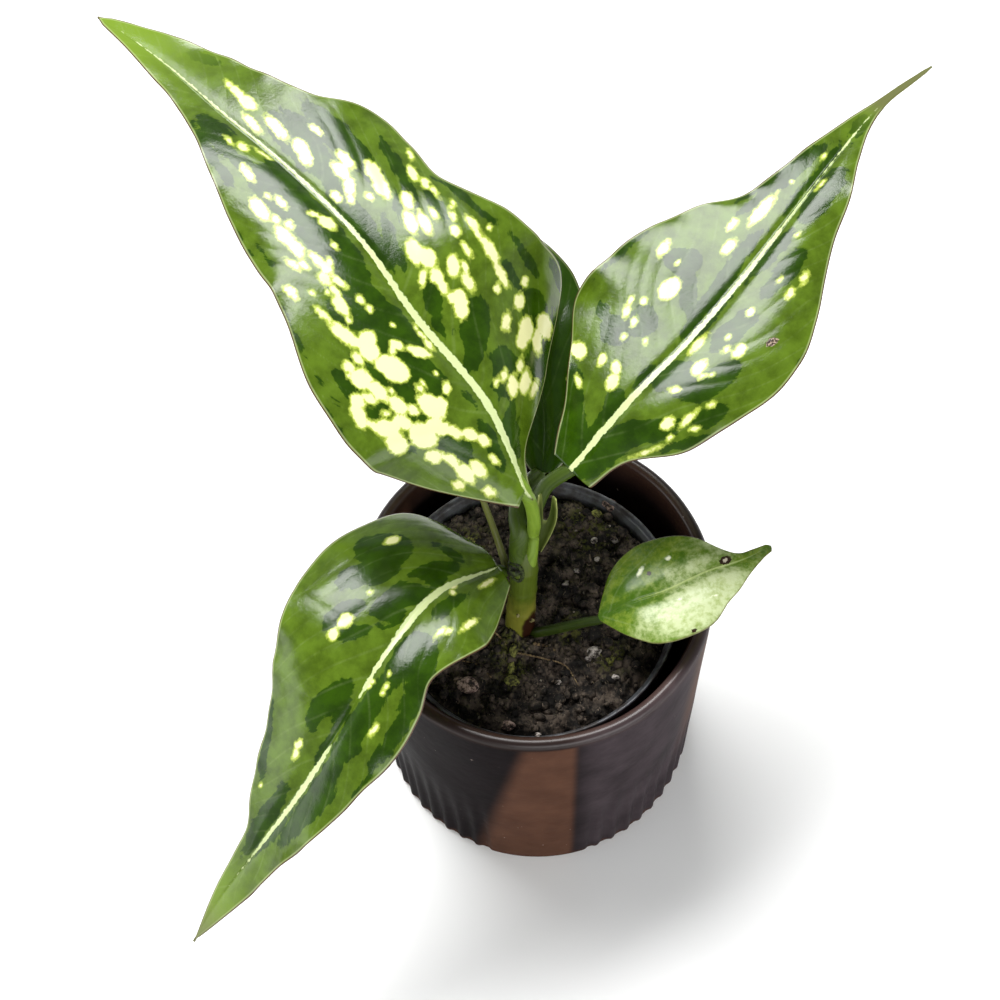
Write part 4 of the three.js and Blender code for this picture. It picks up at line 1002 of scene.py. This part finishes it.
class EvergreenPotSettings(bpy.types.PropertyGroup):
    """Size and glaze of the cachepot"""
    height: FloatProperty(name="Height", description="Height of the cachepot", default=84 * MM, min=60 * MM,
                          max=120 * MM, unit="LENGTH")
    flute_depth: FloatProperty(name="Flute depth", description="Depth of the flutes at the foot",
                               default=0.9 * MM, min=0, max=3 * MM, unit="LENGTH")
    glaze_low: tone("Glaze", "#0a0809", "Darkest tone of the purple-black glaze")
    glaze_high: tone("Glaze, lighter", "#1b1517", "Lighter clouds in the glaze")
    # painted reflection: the greyer tone painted on the glaze's right side
    bloom: tone("Bloom", "#4a4145", "Greyer bloom on the glaze's right side")
    # the brown is brown glaze, and on the front, the right side and the foot a painted reflection of a warm
    # floor
    brown_low: tone("Brown", "#36221a", "Brown where the glaze ran thin")
    brown_high: tone("Brown, lighter", "#5b3f31", "Lighter clouds in the brown")


class EvergreenSoilSettings(bpy.types.PropertyGroup):
    """How much lies loose on the compost, and where"""
    crumbs: IntProperty(name="Crumbs", description="Loose crumbs of peat on the soil", default=900, min=0,
                        max=4000)
    grains: IntProperty(name="Grains", description="Small pale grains on the soil", default=60, min=0,
                        max=500)
    seed: IntProperty(name="Seed", description="Seed of the random places", default=11, min=0)


class EvergreenStageSettings(bpy.types.PropertyGroup):
    """Power of the studio's lamps, glow of its walls, and the lens"""
    key: power("Key light", 90.0, "Power of the large soft light", 400)
    side: power("Side light", 4.0, "Power of the low soft light", 200)
    front: power("Front light", 34.0, "Power of the soft light beside the camera", 200)
    walls: FloatProperty(name="Walls", description="Glow of the studio's walls", default=0.65, min=0, max=3)
    ceiling: FloatProperty(name="Ceiling", description="Glow of the studio's ceiling", default=0.2, min=0,
                           max=3)
    lens: FloatProperty(name="Lens", description="Focal length of the camera in millimetres", default=64.8,
                        min=20, max=200)


# ---- operators --------------------------------------------------------------------------------------


class EVERGREEN_OT_stage(bpy.types.Operator):
    """Make the floor, the studio light and the camera"""
    bl_idname = "evergreen.stage"
    bl_label = "Stage"

    def execute(self, context):
        settings = context.scene.evergreen_stage
        scene = context.scene
        sides = FLOOR["sides"]
        turn = np.radians(np.arange(sides) * 360 / sides)
        corners = FLOOR["radius"] * np.stack([np.cos(turn), np.sin(turn), np.zeros(sides)], 1)
        mesh = bpy.data.meshes.new("floor")
        mesh.from_pydata((corners * MM).tolist(), [], [tuple(range(sides))])
        mesh.materials.append(floor_material())
        floor = bpy.data.objects.new("floor", mesh)
        scene.collection.objects.link(floor)
        world = bpy.data.worlds.new("studio")
        world.use_nodes = True
        world.node_tree.nodes.clear()
        add = partial(add_node, world.node_tree)
        # walls are lit and the ceiling is dark, so that the leaves mirror the lamps and little else
        up = add("SeparateXYZ", "Z", Vector=add("TexCoord", "Generated"))
        glow = add("MapRange", **STEP, Value=up, From_Min=0.3, From_Max=0.75, To_Min=settings.walls,
                   To_Max=settings.ceiling)
        add("OutputWorld", Surface=add("Background", Color=colour("#f4f6f8"), Strength=glow))
        scene.world = world
        for name, (size, azimuth, elevation, distance) in LAMPS.items():
            soft_box(scene, name, getattr(settings, name), size, azimuth, elevation, distance)
        camera = bpy.data.objects.new("camera", bpy.data.cameras.new("camera"))
        camera.data.sensor_width, camera.data.lens = CAMERA["sensor"], settings.lens
        camera.data.clip_start, camera.data.clip_end = CAMERA["clip"]
        tip = Matrix.Rotation(math.radians(90 - CAMERA["down"]), 4, "X")
        roll = Matrix.Rotation(math.radians(-CAMERA["roll"]), 4, "Z")
        camera.matrix_world = Matrix.Translation(Vector(CAMERA["place"]) * MM) @ tip @ roll
        scene.collection.objects.link(camera)
        scene.camera = camera
        scene.view_settings.view_transform = "Standard"
        return {"FINISHED"}


def soft_box(scene, name, watts, size, azimuth, elevation, distance):
    """A flat rectangular light that faces the plant from a distance, at an azimuth from +Y towards +X."""
    data = bpy.data.lights.new(name, "AREA")
    data.shape, data.energy = "RECTANGLE", watts
    data.size, data.size_y = size
    light = bpy.data.objects.new(name, data)
    a, e = math.radians(azimuth), math.radians(elevation)
    back = Vector((math.sin(a) * math.cos(e), math.cos(a) * math.cos(e), math.sin(e)))
    light.location = Vector(LIT_PLACE) * MM + back * distance
    light.rotation_mode = "QUATERNION"
    light.rotation_quaternion = (-back).to_track_quat("-Z", "Y")
    scene.collection.objects.link(light)


def arc(middle, radius, start, end, count):
    """Points of a profile on a circle about the middle, from one angle in degrees to another."""
    turn = np.radians(np.linspace(start, end, count))
    return list(zip(middle[0] + radius * np.cos(turn), middle[1] + radius * np.sin(turn)))


def cachepot_profile(height):
    """Half a section of the cachepot, from the middle of its underside over the lip to the middle of its
    floor: a bevel at the foot, a wall that flares evenly, a round lip, and a cove inside."""
    p = CACHEPOT
    foot, floor, bevel, cove, lip = (p[part] for part in ("foot", "floor", "bevel", "cove", "lip"))
    inner = p["rim"] - p["wall"]
    slope = (p["rim"] - foot) / height
    outside = np.linspace(2, height - lip, 70)
    inside = np.linspace(height - lip, floor + cove, 12)
    return [(0, 0), (20, 0), (foot - bevel - 1, 0),
            *arc((foot - bevel, bevel), bevel, -90, 0, 6),
            *zip(foot + slope * outside, outside),
            *arc((p["rim"] - lip, height - lip), lip, 8, 172, 15),
            *zip(inner - slope * (height - inside), inside),
            *arc((inner - slope * height - cove, floor + cove), cove, 0, -90, 6)[1:],
            (20, floor), (0, floor)]


class EVERGREEN_OT_cachepot(bpy.types.Operator):
    """Make the fluted, glazed cachepot"""
    bl_idname = "evergreen.cachepot"
    bl_label = "Cachepot"

    def execute(self, context):
        settings = context.scene.evergreen_pot
        height, depth = settings.height / MM, settings.flute_depth / MM
        p = CACHEPOT

        def fluted(radius, z, angle):
            """Takes from the outer radius the flute depth, times a fade with height, a cosine for each
            flute and the share of the panel that is fluted, and adds a slow unevenness of the glaze."""
            spacing = 360 / p["panels"]
            off = np.abs((np.degrees(angle) - p["panel_angle"] + spacing / 2) % spacing - spacing / 2)
            panel = smooth_step(off, p["panel_half"], p["panel_half"] + p["panel_border"])
            fade = 1 - smooth_step(z, 0.2 * p["flute_top"], p["flute_top"])
            groove = 0.5 - 0.5 * np.cos(p["flutes"] * angle)
            outside = radius > p["foot"] - 1
            moved = radius - outside * depth * fade * groove * panel * smooth_step(z, 0, 0.5)
            way_round = 44 * angle
            return moved + 0.04 * waves(way_round, z, 26, 3, 16) * (radius > 5), z

        points, faces, uv = turned_surface(cachepot_profile(height), p["flutes"] * 12, move=fluted)
        x, y, z = points.T
        angle, radius = np.degrees(np.arctan2(y, x)), np.hypot(x, y)
        # the lip's bead is glossy from just below its top, also on its inner side
        lip = smooth_step(z, height - p["lip"], height - 0.6) * smooth_step(radius, 40.5, 41.8)
        fields = {
            # brown: brown glaze, and a painted reflection of a warm floor on the front, the right side and the
            # foot
            "brown": brown_glaze_and_painted_reflection(angle, z, radius),
            # painted reflection: a greyer tone on the right side
            "bloom": smooth_step(angle, -84, -70) * smooth_step(angle, 20, -30),
            "lip": 0.8 * lip,
        }
        glaze = glaze_material(settings_colours(settings))
        add_piece("cachepot_glazed", points, faces, glaze, ["cachepot"], "glazed_ceramic", uv, fields)
        return {"FINISHED"}


def brown_glaze_and_painted_reflection(angle, z, radius):
    """How brown the glaze is painted: a stripe down the front panel with soft slanting borders and a zone on
    the right side, both painted reflections of a warm floor, a brown stripe of glaze on the back, a little on
    the inner wall, a thin warm line at the foot, a painted reflection of the floor, and warmer brown along the
    lip. A stripe's borders are in degrees off its middle, and lean with the height over 84 mm."""
    up = z / 84
    off = angle + 90
    front = smooth_step(off, -29 + 20 * up, -20 + 17 * up) * smooth_step(off, 11.5, 8)
    side = smooth_step(np.abs(angle + 16 - 0.1 * z), 27, 13) * smooth_step(z, 15, 58)
    off = (angle - 150 + 180) % 360 - 180
    rear = smooth_step(off, -26 + 14 * up, -18 + 13 * up) * smooth_step(off, 15, 11)
    inner = 0.12 * smooth_step(radius, 42.5, 42)
    foot = 0.7 * smooth_step(z, 3, 0.5)
    lip = smooth_step(z, 81, 82.5)
    warm = lip * (0.15 + 0.3 * smooth_step(radius, 44, 42.4))
    return np.maximum.reduce([np.maximum.reduce([front, side, rear]) * (1 - lip), inner, foot, warm])


def nursery_inside(z):
    """The nursery pot's inner radius at a height: it widens evenly from the base to the bead."""
    p = NURSERY
    widens = p["rim"] - p["bead"] - p["base"]
    return p["base"] + widens * (z - p["base_height"]) / (p["rim_height"] - p["base_height"]) - p["wall"]


class EVERGREEN_OT_nursery_pot(bpy.types.Operator):
    """Make the thin nursery pot with its drain holes"""
    bl_idname = "evergreen.nursery_pot"
    bl_label = "Nursery pot"

    def execute(self, context):
        p = NURSERY
        low, top, rim, wall = p["base_height"], p["rim_height"], p["rim"], p["wall"]
        shoulder = top - p["bead_height"]
        outer = nursery_inside(low) + wall
        profile = [(0, low), (outer - 0.4, low), (outer, low + 0.4)]
        profile += [(nursery_inside(z) + wall, z) for z in np.linspace(low + 1, shoulder, 14)]
        profile += [(rim - 0.3, shoulder + 0.2), (rim, shoulder + 0.6), (rim, top - 0.4),
                    (rim - 0.12, top - 0.12), (rim - 0.35, top), (rim - 0.6, top - 0.1),
                    (rim - 0.75, top - 0.4), (rim - 0.85, shoulder)]
        inner = [shoulder - 1, *np.linspace(shoulder - 2, low + wall + 1, 14)]
        profile += [(nursery_inside(z), z) for z in inner]
        profile += [(nursery_inside(low + wall), low + wall), (0, low + wall)]

        def bent(radius, z, angle):
            """The thin rim is out of round by 0.12 mm, three times round."""
            return radius + (z > 60) * (radius > 20) * 0.12 * np.sin(3 * angle + 1), z

        points, faces, _ = turned_surface(profile, 180, p["centre"], bent)
        pot = add_piece("nursery_pot_shell", points, faces, plastic_material(), ["nursery_pot"],
                        "nursery_plastic")
        cut_holes(pot)
        return {"FINISHED"}


def cut_holes(pot):
    """Cuts the round drain holes out of the base with one Boolean, and applies it. The cutter is one prism of
    32 sides for each hole, from 2 mm under the base to 3 mm over it."""
    p, sides = NURSERY, 32
    turn = np.linspace(0, 2 * math.pi, sides, endpoint=False)
    ring = p["hole_radius"] * np.stack([np.cos(turn), np.sin(turn)], 1)
    here = np.arange(sides)
    after = (here + 1) % sides
    points, faces = [], []
    for hole in range(p["holes"]):
        a = 2 * math.pi * hole / p["holes"]
        middle = np.array(p["centre"]) + p["hole_ring"] * np.array([math.cos(a), math.sin(a)])
        points += [np.column_stack([middle + ring, np.full(sides, p["base_height"] + z)]) for z in (-2, 3)]
        low = 2 * sides * hole
        high = low + sides
        faces += np.stack([low + here, low + after, high + after, high + here], 1).tolist()
        faces += [(low + here[::-1]).tolist(), (high + here).tolist()]
    mesh = bpy.data.meshes.new("drain_cutter")
    mesh.from_pydata((np.vstack(points) * MM).tolist(), [], faces)
    cutter = bpy.data.objects.new("drain_cutter", mesh)
    bpy.context.scene.collection.objects.link(cutter)
    cut = pot.modifiers.new("drain", "BOOLEAN")
    cut.object, cut.operation, cut.solver = cutter, "DIFFERENCE", "EXACT"
    done = bpy.data.meshes.new_from_object(pot.evaluated_get(bpy.context.evaluated_depsgraph_get()))
    if not done.polygons:
        raise RuntimeError("the drain holes could not be cut")
    pot.modifiers.clear()
    pot.data = done
    done.name = pot.name
    bpy.data.objects.remove(cutter)


def soil_height(x, y):
    """Height of the compost above its level: the long slow crumbs of the solid, lumps and grains of 6, 2.6
    and 1.2 mm on them, and a low heap round the stem."""
    coarse = np.sin(0.31 * x + 1.3) * np.cos(0.27 * y - 0.4)
    fine = np.sin(0.52 * x - 0.44 * y) + np.sin(0.55 * y + 0.4 * x + 2)
    made = SOIL["roughness"] * (0.5 * coarse + 0.35 * fine)
    made = made + 0.6 * waves(x, y, 6, 21) + 0.45 * np.abs(waves(x, y, 2.6, 22)) + 0.2 * waves(x, y, 1.2, 23)
    heap_x, heap_y, height, spread = SOIL["heap"]
    return made + height * np.exp(-((x - heap_x) ** 2 + (y - heap_y) ** 2) / spread)


def pebble(place, size, seed, squash=0.75, rows=15, columns=26):
    """One rounded chip: a sphere whose radius rises and falls by up to a third, as six flat waves through
    space make it, squashed and turned at random."""
    random = np.random.default_rng(seed)
    down, round_ = np.meshgrid(np.linspace(0, math.pi, rows + 2)[1:-1],
                               np.linspace(0, 2 * math.pi, columns, endpoint=False), indexing="ij")
    ball = np.stack([np.sin(down) * np.cos(round_), np.sin(down) * np.sin(round_), np.cos(down)], -1)
    ball = np.vstack([ball.reshape(-1, 3), [[0, 0, 1], [0, 0, -1]]])
    reach = random.normal(0, 1.9, (6, 3))
    far = 1 + 0.13 * np.sin(ball @ reach.T + random.uniform(0, 6, 6)).sum(1)
    tilt = np.linalg.qr(random.normal(0, 1, (3, 3)))[0]
    shape = (ball * far[:, None]) @ tilt * (1, random.uniform(0.65, 1), squash)
    ring = np.arange(columns)
    faces = [grid_quads(rows, columns), fan(ring, rows * columns, False),
             fan(ring + (rows - 1) * columns, rows * columns + 1, True)]
    if np.linalg.det(tilt) > 0:
        faces = [cells[:, ::-1] for cells in faces]
    return shape * size + np.asarray(place, float), faces


def joined(shapes):
    """Several shapes as one set of points and faces."""
    points, faces, start = [], [], 0
    for made, cells in shapes:
        points.append(made)
        faces += [c + start for c in cells]
        start += len(made)
    return np.vstack(points), faces


def lumps(places, sizes, seed, flatness=0.7):
    """Rough little stones: the twelve corners of an icosahedron pushed in and out by up to a quarter, squashed
    and turned at random about the vertical, scaled and put in place. Twenty faces each."""
    g = (1 + 5 ** 0.5) / 2
    corner = np.array([(-1, g, 0), (1, g, 0), (-1, -g, 0), (1, -g, 0), (0, -1, g), (0, 1, g),
                       (0, -1, -g), (0, 1, -g), (g, 0, -1), (g, 0, 1), (-g, 0, -1), (-g, 0, 1)])
    corner /= math.hypot(1, g)
    cells = np.array([(0, 11, 5), (0, 5, 1), (0, 1, 7), (0, 7, 10), (0, 10, 11), (1, 5, 9), (5, 11, 4),
                      (11, 10, 2), (10, 7, 6), (7, 1, 8), (3, 9, 4), (3, 4, 2), (3, 2, 6), (3, 6, 8),
                      (3, 8, 9), (4, 9, 5), (2, 4, 11), (6, 2, 10), (8, 6, 7), (9, 8, 1)])
    random = np.random.default_rng(seed)
    count = len(places)
    made = corner[None] * random.uniform(0.75, 1.2, (count, 12, 1))
    squash = np.stack([np.ones(count), random.uniform(0.6, 1.1, count), np.full(count, flatness)], 1)
    made = made * squash[:, None]
    a = random.uniform(0, 2 * math.pi, count)[:, None]
    x, y = made[..., 0].copy(), made[..., 1].copy()
    made[..., 0], made[..., 1] = x * np.cos(a) - y * np.sin(a), x * np.sin(a) + y * np.cos(a)
    made = made * np.asarray(sizes)[:, None, None] + np.asarray(places)[:, None]
    faces = (cells[None] + 12 * np.arange(count)[:, None, None]).reshape(-1, 3)
    return made.reshape(-1, 3), [faces]


def on_soil(x, y, lift):
    """Points at a height over the compost."""
    return np.stack([x, y, SOIL["level"] + soil_height(x, y) + lift], -1)


class EVERGREEN_OT_soil(bpy.types.Operator):
    """Make the compost with its crumbs, grains, chips and fine roots"""
    bl_idname = "evergreen.soil"
    bl_label = "Soil"

    def execute(self, context):
        settings = context.scene.evergreen_soil
        level, bottom, (middle_x, middle_y) = SOIL["level"], SOIL["bottom"], NURSERY["centre"]
        shoulder = level - SOIL["edge_drop"]

        def inside(z):
            """The nursery pot's inner radius, less the clearance."""
            return nursery_inside(z) - SOIL["clearance"]

        edge = inside(shoulder)
        profile = [(0, bottom), (inside(bottom), bottom)]
        profile += [(inside(z), z) for z in np.linspace(20, shoulder - 0.3, 6)]
        profile += [(radius, level) for radius in np.linspace(edge - 0.3, 0.4, 84)] + [(0, level)]

        def rough(radius, z, angle):
            """Raises the top by the compost's height there, and lets it slump at the wall of the pot."""
            x, y = middle_x + radius * np.cos(angle), middle_y + radius * np.sin(angle)
            slump = SOIL["edge_drop"] * smooth_step(radius, edge - 3, edge)
            return radius, np.where(z > level - 0.1, z + soil_height(x, y) - slump, z)

        points, faces, _ = turned_surface(profile, 300, NURSERY["centre"], rough)
        points[-1, 2] = level + soil_height(middle_x, middle_y)
        compost = soil_material()
        algae = np.max([0.9 * np.exp(-((points[:, 0] - x) ** 2 + (points[:, 1] - y) ** 2) / reach ** 2)
                        for x, y, reach in ALGAE], axis=0)
        add_piece("compost", points, faces, compost, ["soil"], "potting_soil", fields={"algae": algae})
        random = np.random.default_rng(settings.seed)

        def scattered(count, reach, low, high):
            """Random places on the compost clear of the stem, and sizes, small ones more often."""
            angle, far = random.uniform(0, 2 * math.pi, count), reach * np.sqrt(random.uniform(0, 1, count))
            x, y = middle_x + far * np.cos(angle), middle_y + far * np.sin(angle)
            clear = np.hypot(x - STEM_AXIS[0][0], y - STEM_AXIS[0][1]) > 4.6
            x, y = x[clear], y[clear]
            size = low + (high - low) * random.uniform(0, 1, len(x)) ** 2
            return on_soil(x, y, 0.25 * size), size

        made, cells = lumps(*scattered(settings.crumbs, edge - 1, 0.4, 1.9), 5)
        add_piece("compost_crumbs", made, cells, compost, ["soil"], "potting_soil",
                  fields={"algae": np.zeros(len(made))})
        grains = lumps(*scattered(settings.grains, edge - 1.5, 0.2, 0.6), 6, 0.9)
        add_piece("perlite_grains", *grains, grit_material("expanded_perlite", "#5d554b", "#b5aa9b", 0.8),
                  ["soil"], "potting_soil")
        for kind, (low, high, chips) in CHIPS.items():
            shapes = [pebble(on_soil(x, y, 0.3 * size), size, i) for i, (x, y, size) in enumerate(chips)]
            if kind == "mossy_chips":
                path = path_through(MOSSY_ROOT, 40)
                radii = 0.9 + 0.25 * np.sin(np.linspace(0, 9, 40))
                shapes.append(tube(path, radii, 14, reference=(0, 0.2, 1))[:2])
            grain = grit_material(kind + "_grain", low, high, 0.75)
            add_piece(kind, *joined(shapes), grain, ["soil"], "potting_soil")
        roots = []
        for points, radius in ROOTS:
            path = path_through([on_soil(x, y, lift) for x, y, lift in points], 40)
            radii = radius * (1 - 0.5 * np.linspace(0, 1, 40))
            roots.append(tube(path, radii, 10, reference=(0, 0.2, 1))[:2])
        skin = grit_material("dry_root_skin", "#4d3a26", "#a08a63", 0.6)
        add_piece("fine_roots", *joined(roots), skin, ["soil"], "potting_soil")
        return {"FINISHED"}


def jointed(place, angle):
    """Rings where old leaves stood: the radius swells by a twentieth over about a millimetre, and the stem is
    a little three-cornered, with the corners turning as it rises."""
    ring = sum(np.exp(-((place - at) / 0.018) ** 2) for at in STEM_JOINTS)
    return 1 + 0.05 * ring + 0.03 * np.sin(3 * angle + 9 * place)


def leaf_scar(path):
    """The raised ring of a leaf's scar: an ellipse as seen from the front, laid on the stem's round face."""
    (beside, high), (wide, tall) = STEM_SCAR["place"], STEM_SCAR["half"]
    turn = np.linspace(0, 2 * math.pi, 60)
    x, z = beside + wide * np.cos(turn), high + tall * np.sin(turn)
    middle_x, middle_y = (np.interp(z, path[:, 2], path[:, axis]) for axis in (0, 1))
    y = middle_y - np.sqrt(np.maximum(STEM_SCAR["reach"] ** 2 - (x - middle_x) ** 2, 0.3))
    return tube(np.stack([x, y, z], 1), np.full(60, STEM_SCAR["thickness"]), 12, reference=(0, 1, 0.1))[:2]


def sheath_shell():
    """The open sheath of a cut leaf stalk: t runs up its bent spine and q from -1 to 1 round a trough of 155
    degrees that widens upwards, and a notch between its two sides is cut back by up to 0.44 of the height.
    Returns points and faces, and t and q at each point."""
    t, q = np.meshgrid(np.linspace(0, 1, 60), np.linspace(-1, 1, 33), indexing="ij")
    reach = t * (1 - 0.44 * smooth_step(1 - np.abs(q), 0.5, 0.9) - 0.06 * (q > 0) * np.abs(q))
    spine = even_curve(OLD_SHEATH, reach.ravel()).reshape(*t.shape, 3)
    half = 1 + 1.4 * np.sin(math.pi * reach * 0.75)
    turn = 1.35 * q
    beside, bent = half * np.sin(turn), 0.9 * half * (1 - np.cos(turn))
    top = spine + beside[..., None] * (1, -0.1, 0) + bent[..., None] * (0, -0.9, 0.45)
    outward = np.stack([-np.sin(turn), -0.9 * np.cos(turn), 0.45 * np.cos(turn)], -1)
    low = top - outward * (0.4 * np.sqrt(np.clip(1 - q ** 6, 0, 1)))[..., None]
    return *closed_sheet(top, low), on_both_faces(t), on_both_faces(q)


class EVERGREEN_OT_stem(bpy.types.Operator):
    """Make the stem with its scars, and what is left of two old stalks"""
    bl_idname = "evergreen.stem"
    bl_label = "Stem"

    def execute(self, context):
        path = path_through(np.array(STEM_AXIS) + STEM_SHIFT, 120)
        place = np.linspace(0, 1, 120)
        radii = even_curve(STEM_RADII, place) * np.sqrt(1 - smooth_step(place, 0.8, 1.04))
        points, faces, uv = tube(path, radii, 48, jointed)
        # the stem yellows towards its foot, and has a brown scar on the right of it
        x, _, z = points.T
        patch = smooth_step(np.hypot((x + 1.4) / 3.4, (z - 77.5) / 7.5), 1.35, 0.5)
        scar = np.maximum(0.8 * patch, 0.4 * smooth_step(z, 92, 80))
        green = stalk_material("evergreen_stem_skin")
        add_piece("stem_grown", points, faces, green, ["stem"], "plant_stem", uv, {"scar": scar})
        bud = joined([leaf_scar(path), pebble((-4.8, -4.3, 98), 2, 31, 0.95)])
        scale = grit_material("dry_bud_scale", "#141a06", "#3f4d16", 0.5)
        add_piece("dry_bud", *bud, scale, ["stem"], "plant_stem")
        stubs = joined([pebble((-1.6, -9.3, 80.8), 0.7, 33, 0.8), pebble((-4.8, -10.2, 85.5), 0.5, 34, 0.8)])
        stipule = grit_material("dry_stipule", "#5a5024", "#b9b27c", 0.6)
        add_piece("pale_stubs", *stubs, stipule, ["stem"], "plant_stem")
        points, faces, along, around = sheath_shell()
        uv = np.stack([along * 14, around * 3], 1)
        scar = 0.75 * smooth_step(np.abs(around), 0.55, 1) + 0.25 * smooth_step(along, 0.8, 1)
        torn = stalk_material("torn_leaf_sheath")
        add_piece("old_sheath_shell", points, faces, torn, ["old_sheath"], "dry_stalk", uv, {"scar": scar})
        radii = np.interp(np.linspace(0, 1, 90), [0, 0.3, 0.98, 1], [1.05, 0.85, 0.7, 0.4])
        points, faces, uv = tube(path_through(OLD_STALK, 90), radii, 24)
        dry = stalk_material("dry_papery_stalk")
        add_piece("old_stalk_grown", points, faces, dry, ["old_stalk"], "dry_stalk", uv,
                  {"scar": np.zeros(len(points))})
        return {"FINISHED"}


def channelled(place, angle):
    """The shallow channel down a leaf stalk: the radius sinks by a twelfth within about 30 degrees."""
    return 1 - 0.08 * np.exp(-((angle - math.pi) / 0.5) ** 2)


class EVERGREEN_OT_leaves(bpy.types.Operator):
    """Make the five leaves with their stalks"""
    bl_idname = "evergreen.leaves"
    bl_label = "Leaves"

    def execute(self, context):
        settings = context.scene.evergreen_leaf
        skin = leaf_material(settings_colours(settings))
        young = young_leaf_material()
        # leaf_1's stalk gets the light skin, and the others the darker skins, painted shade for stalks in the
        # leaves' shadow
        light, deep = stalk_material("evergreen_stalk_skin"), stalk_material("evergreen_sheath_skin")
        stalks = {"leaf_1": light, "leaf_4": stalk_material("evergreen_petiole_skin")}
        for name, leaf in LEAVES.items():
            slot, finish = ("young_leaf", young) if name == "leaf_4" else ("variegated_leaf", skin)
            points, faces, uv, fields = blade(name, leaf, settings.rows)
            add_piece(name + "_blade", points, faces, finish, [name], slot, uv, fields)
            path, radii = stalk_of(leaf)
            points, faces, uv = tube(path, radii, 28, channelled, (0, 0.3, 1))
            add_piece(name + "_stalk", points, faces, stalks.get(name, deep), [name], slot, uv,
                      {"scar": np.zeros(len(points))})
        return {"FINISHED"}


class EVERGREEN_PT_panel(bpy.types.Panel):
    """Lists the operators, each with its settings"""
    bl_idname = "EVERGREEN_PT_panel"
    bl_label = "Potted evergreen"
    bl_space_type = "VIEW_3D"
    bl_region_type = "UI"
    bl_category = "Evergreen"

    def draw(self, context):
        for operator, settings in BUTTONS:
            self.layout.operator(operator.bl_idname)
            if settings:
                group = getattr(context.scene, settings)
                box = self.layout.box()
                for key in group.__annotations__:
                    box.prop(group, key)


# the settings by their name in the scene, and each operator with the settings that it reads
GROUPS = {"evergreen_stage": EvergreenStageSettings, "evergreen_pot": EvergreenPotSettings,
          "evergreen_soil": EvergreenSoilSettings, "evergreen_leaf": EvergreenLeafSettings}
BUTTONS = [(EVERGREEN_OT_stage, "evergreen_stage"), (EVERGREEN_OT_cachepot, "evergreen_pot"),
           (EVERGREEN_OT_nursery_pot, None), (EVERGREEN_OT_soil, "evergreen_soil"), (EVERGREEN_OT_stem, None),
           (EVERGREEN_OT_leaves, "evergreen_leaf")]


def register():
    """Registers the settings, the operators and the panel, and gives the scene its settings."""
    for group in GROUPS.values():
        bpy.utils.register_class(group)
    for operator, _ in BUTTONS:
        bpy.utils.register_class(operator)
    bpy.utils.register_class(EVERGREEN_PT_panel)
    for name, group in GROUPS.items():
        setattr(bpy.types.Scene, name, PointerProperty(type=group))


def unregister():
    """Takes away what register adds, in the opposite order."""
    for name in GROUPS:
        delattr(bpy.types.Scene, name)
    bpy.utils.unregister_class(EVERGREEN_PT_panel)
    for operator, _ in reversed(BUTTONS):
        bpy.utils.unregister_class(operator)
    for group in GROUPS.values():
        bpy.utils.unregister_class(group)


def main():
    register()
    bpy.ops.evergreen.stage()
    bpy.ops.evergreen.cachepot()
    bpy.ops.evergreen.nursery_pot()
    bpy.ops.evergreen.soil()
    bpy.ops.evergreen.stem()
    bpy.ops.evergreen.leaves()


if __name__ == "__main__":
    main()
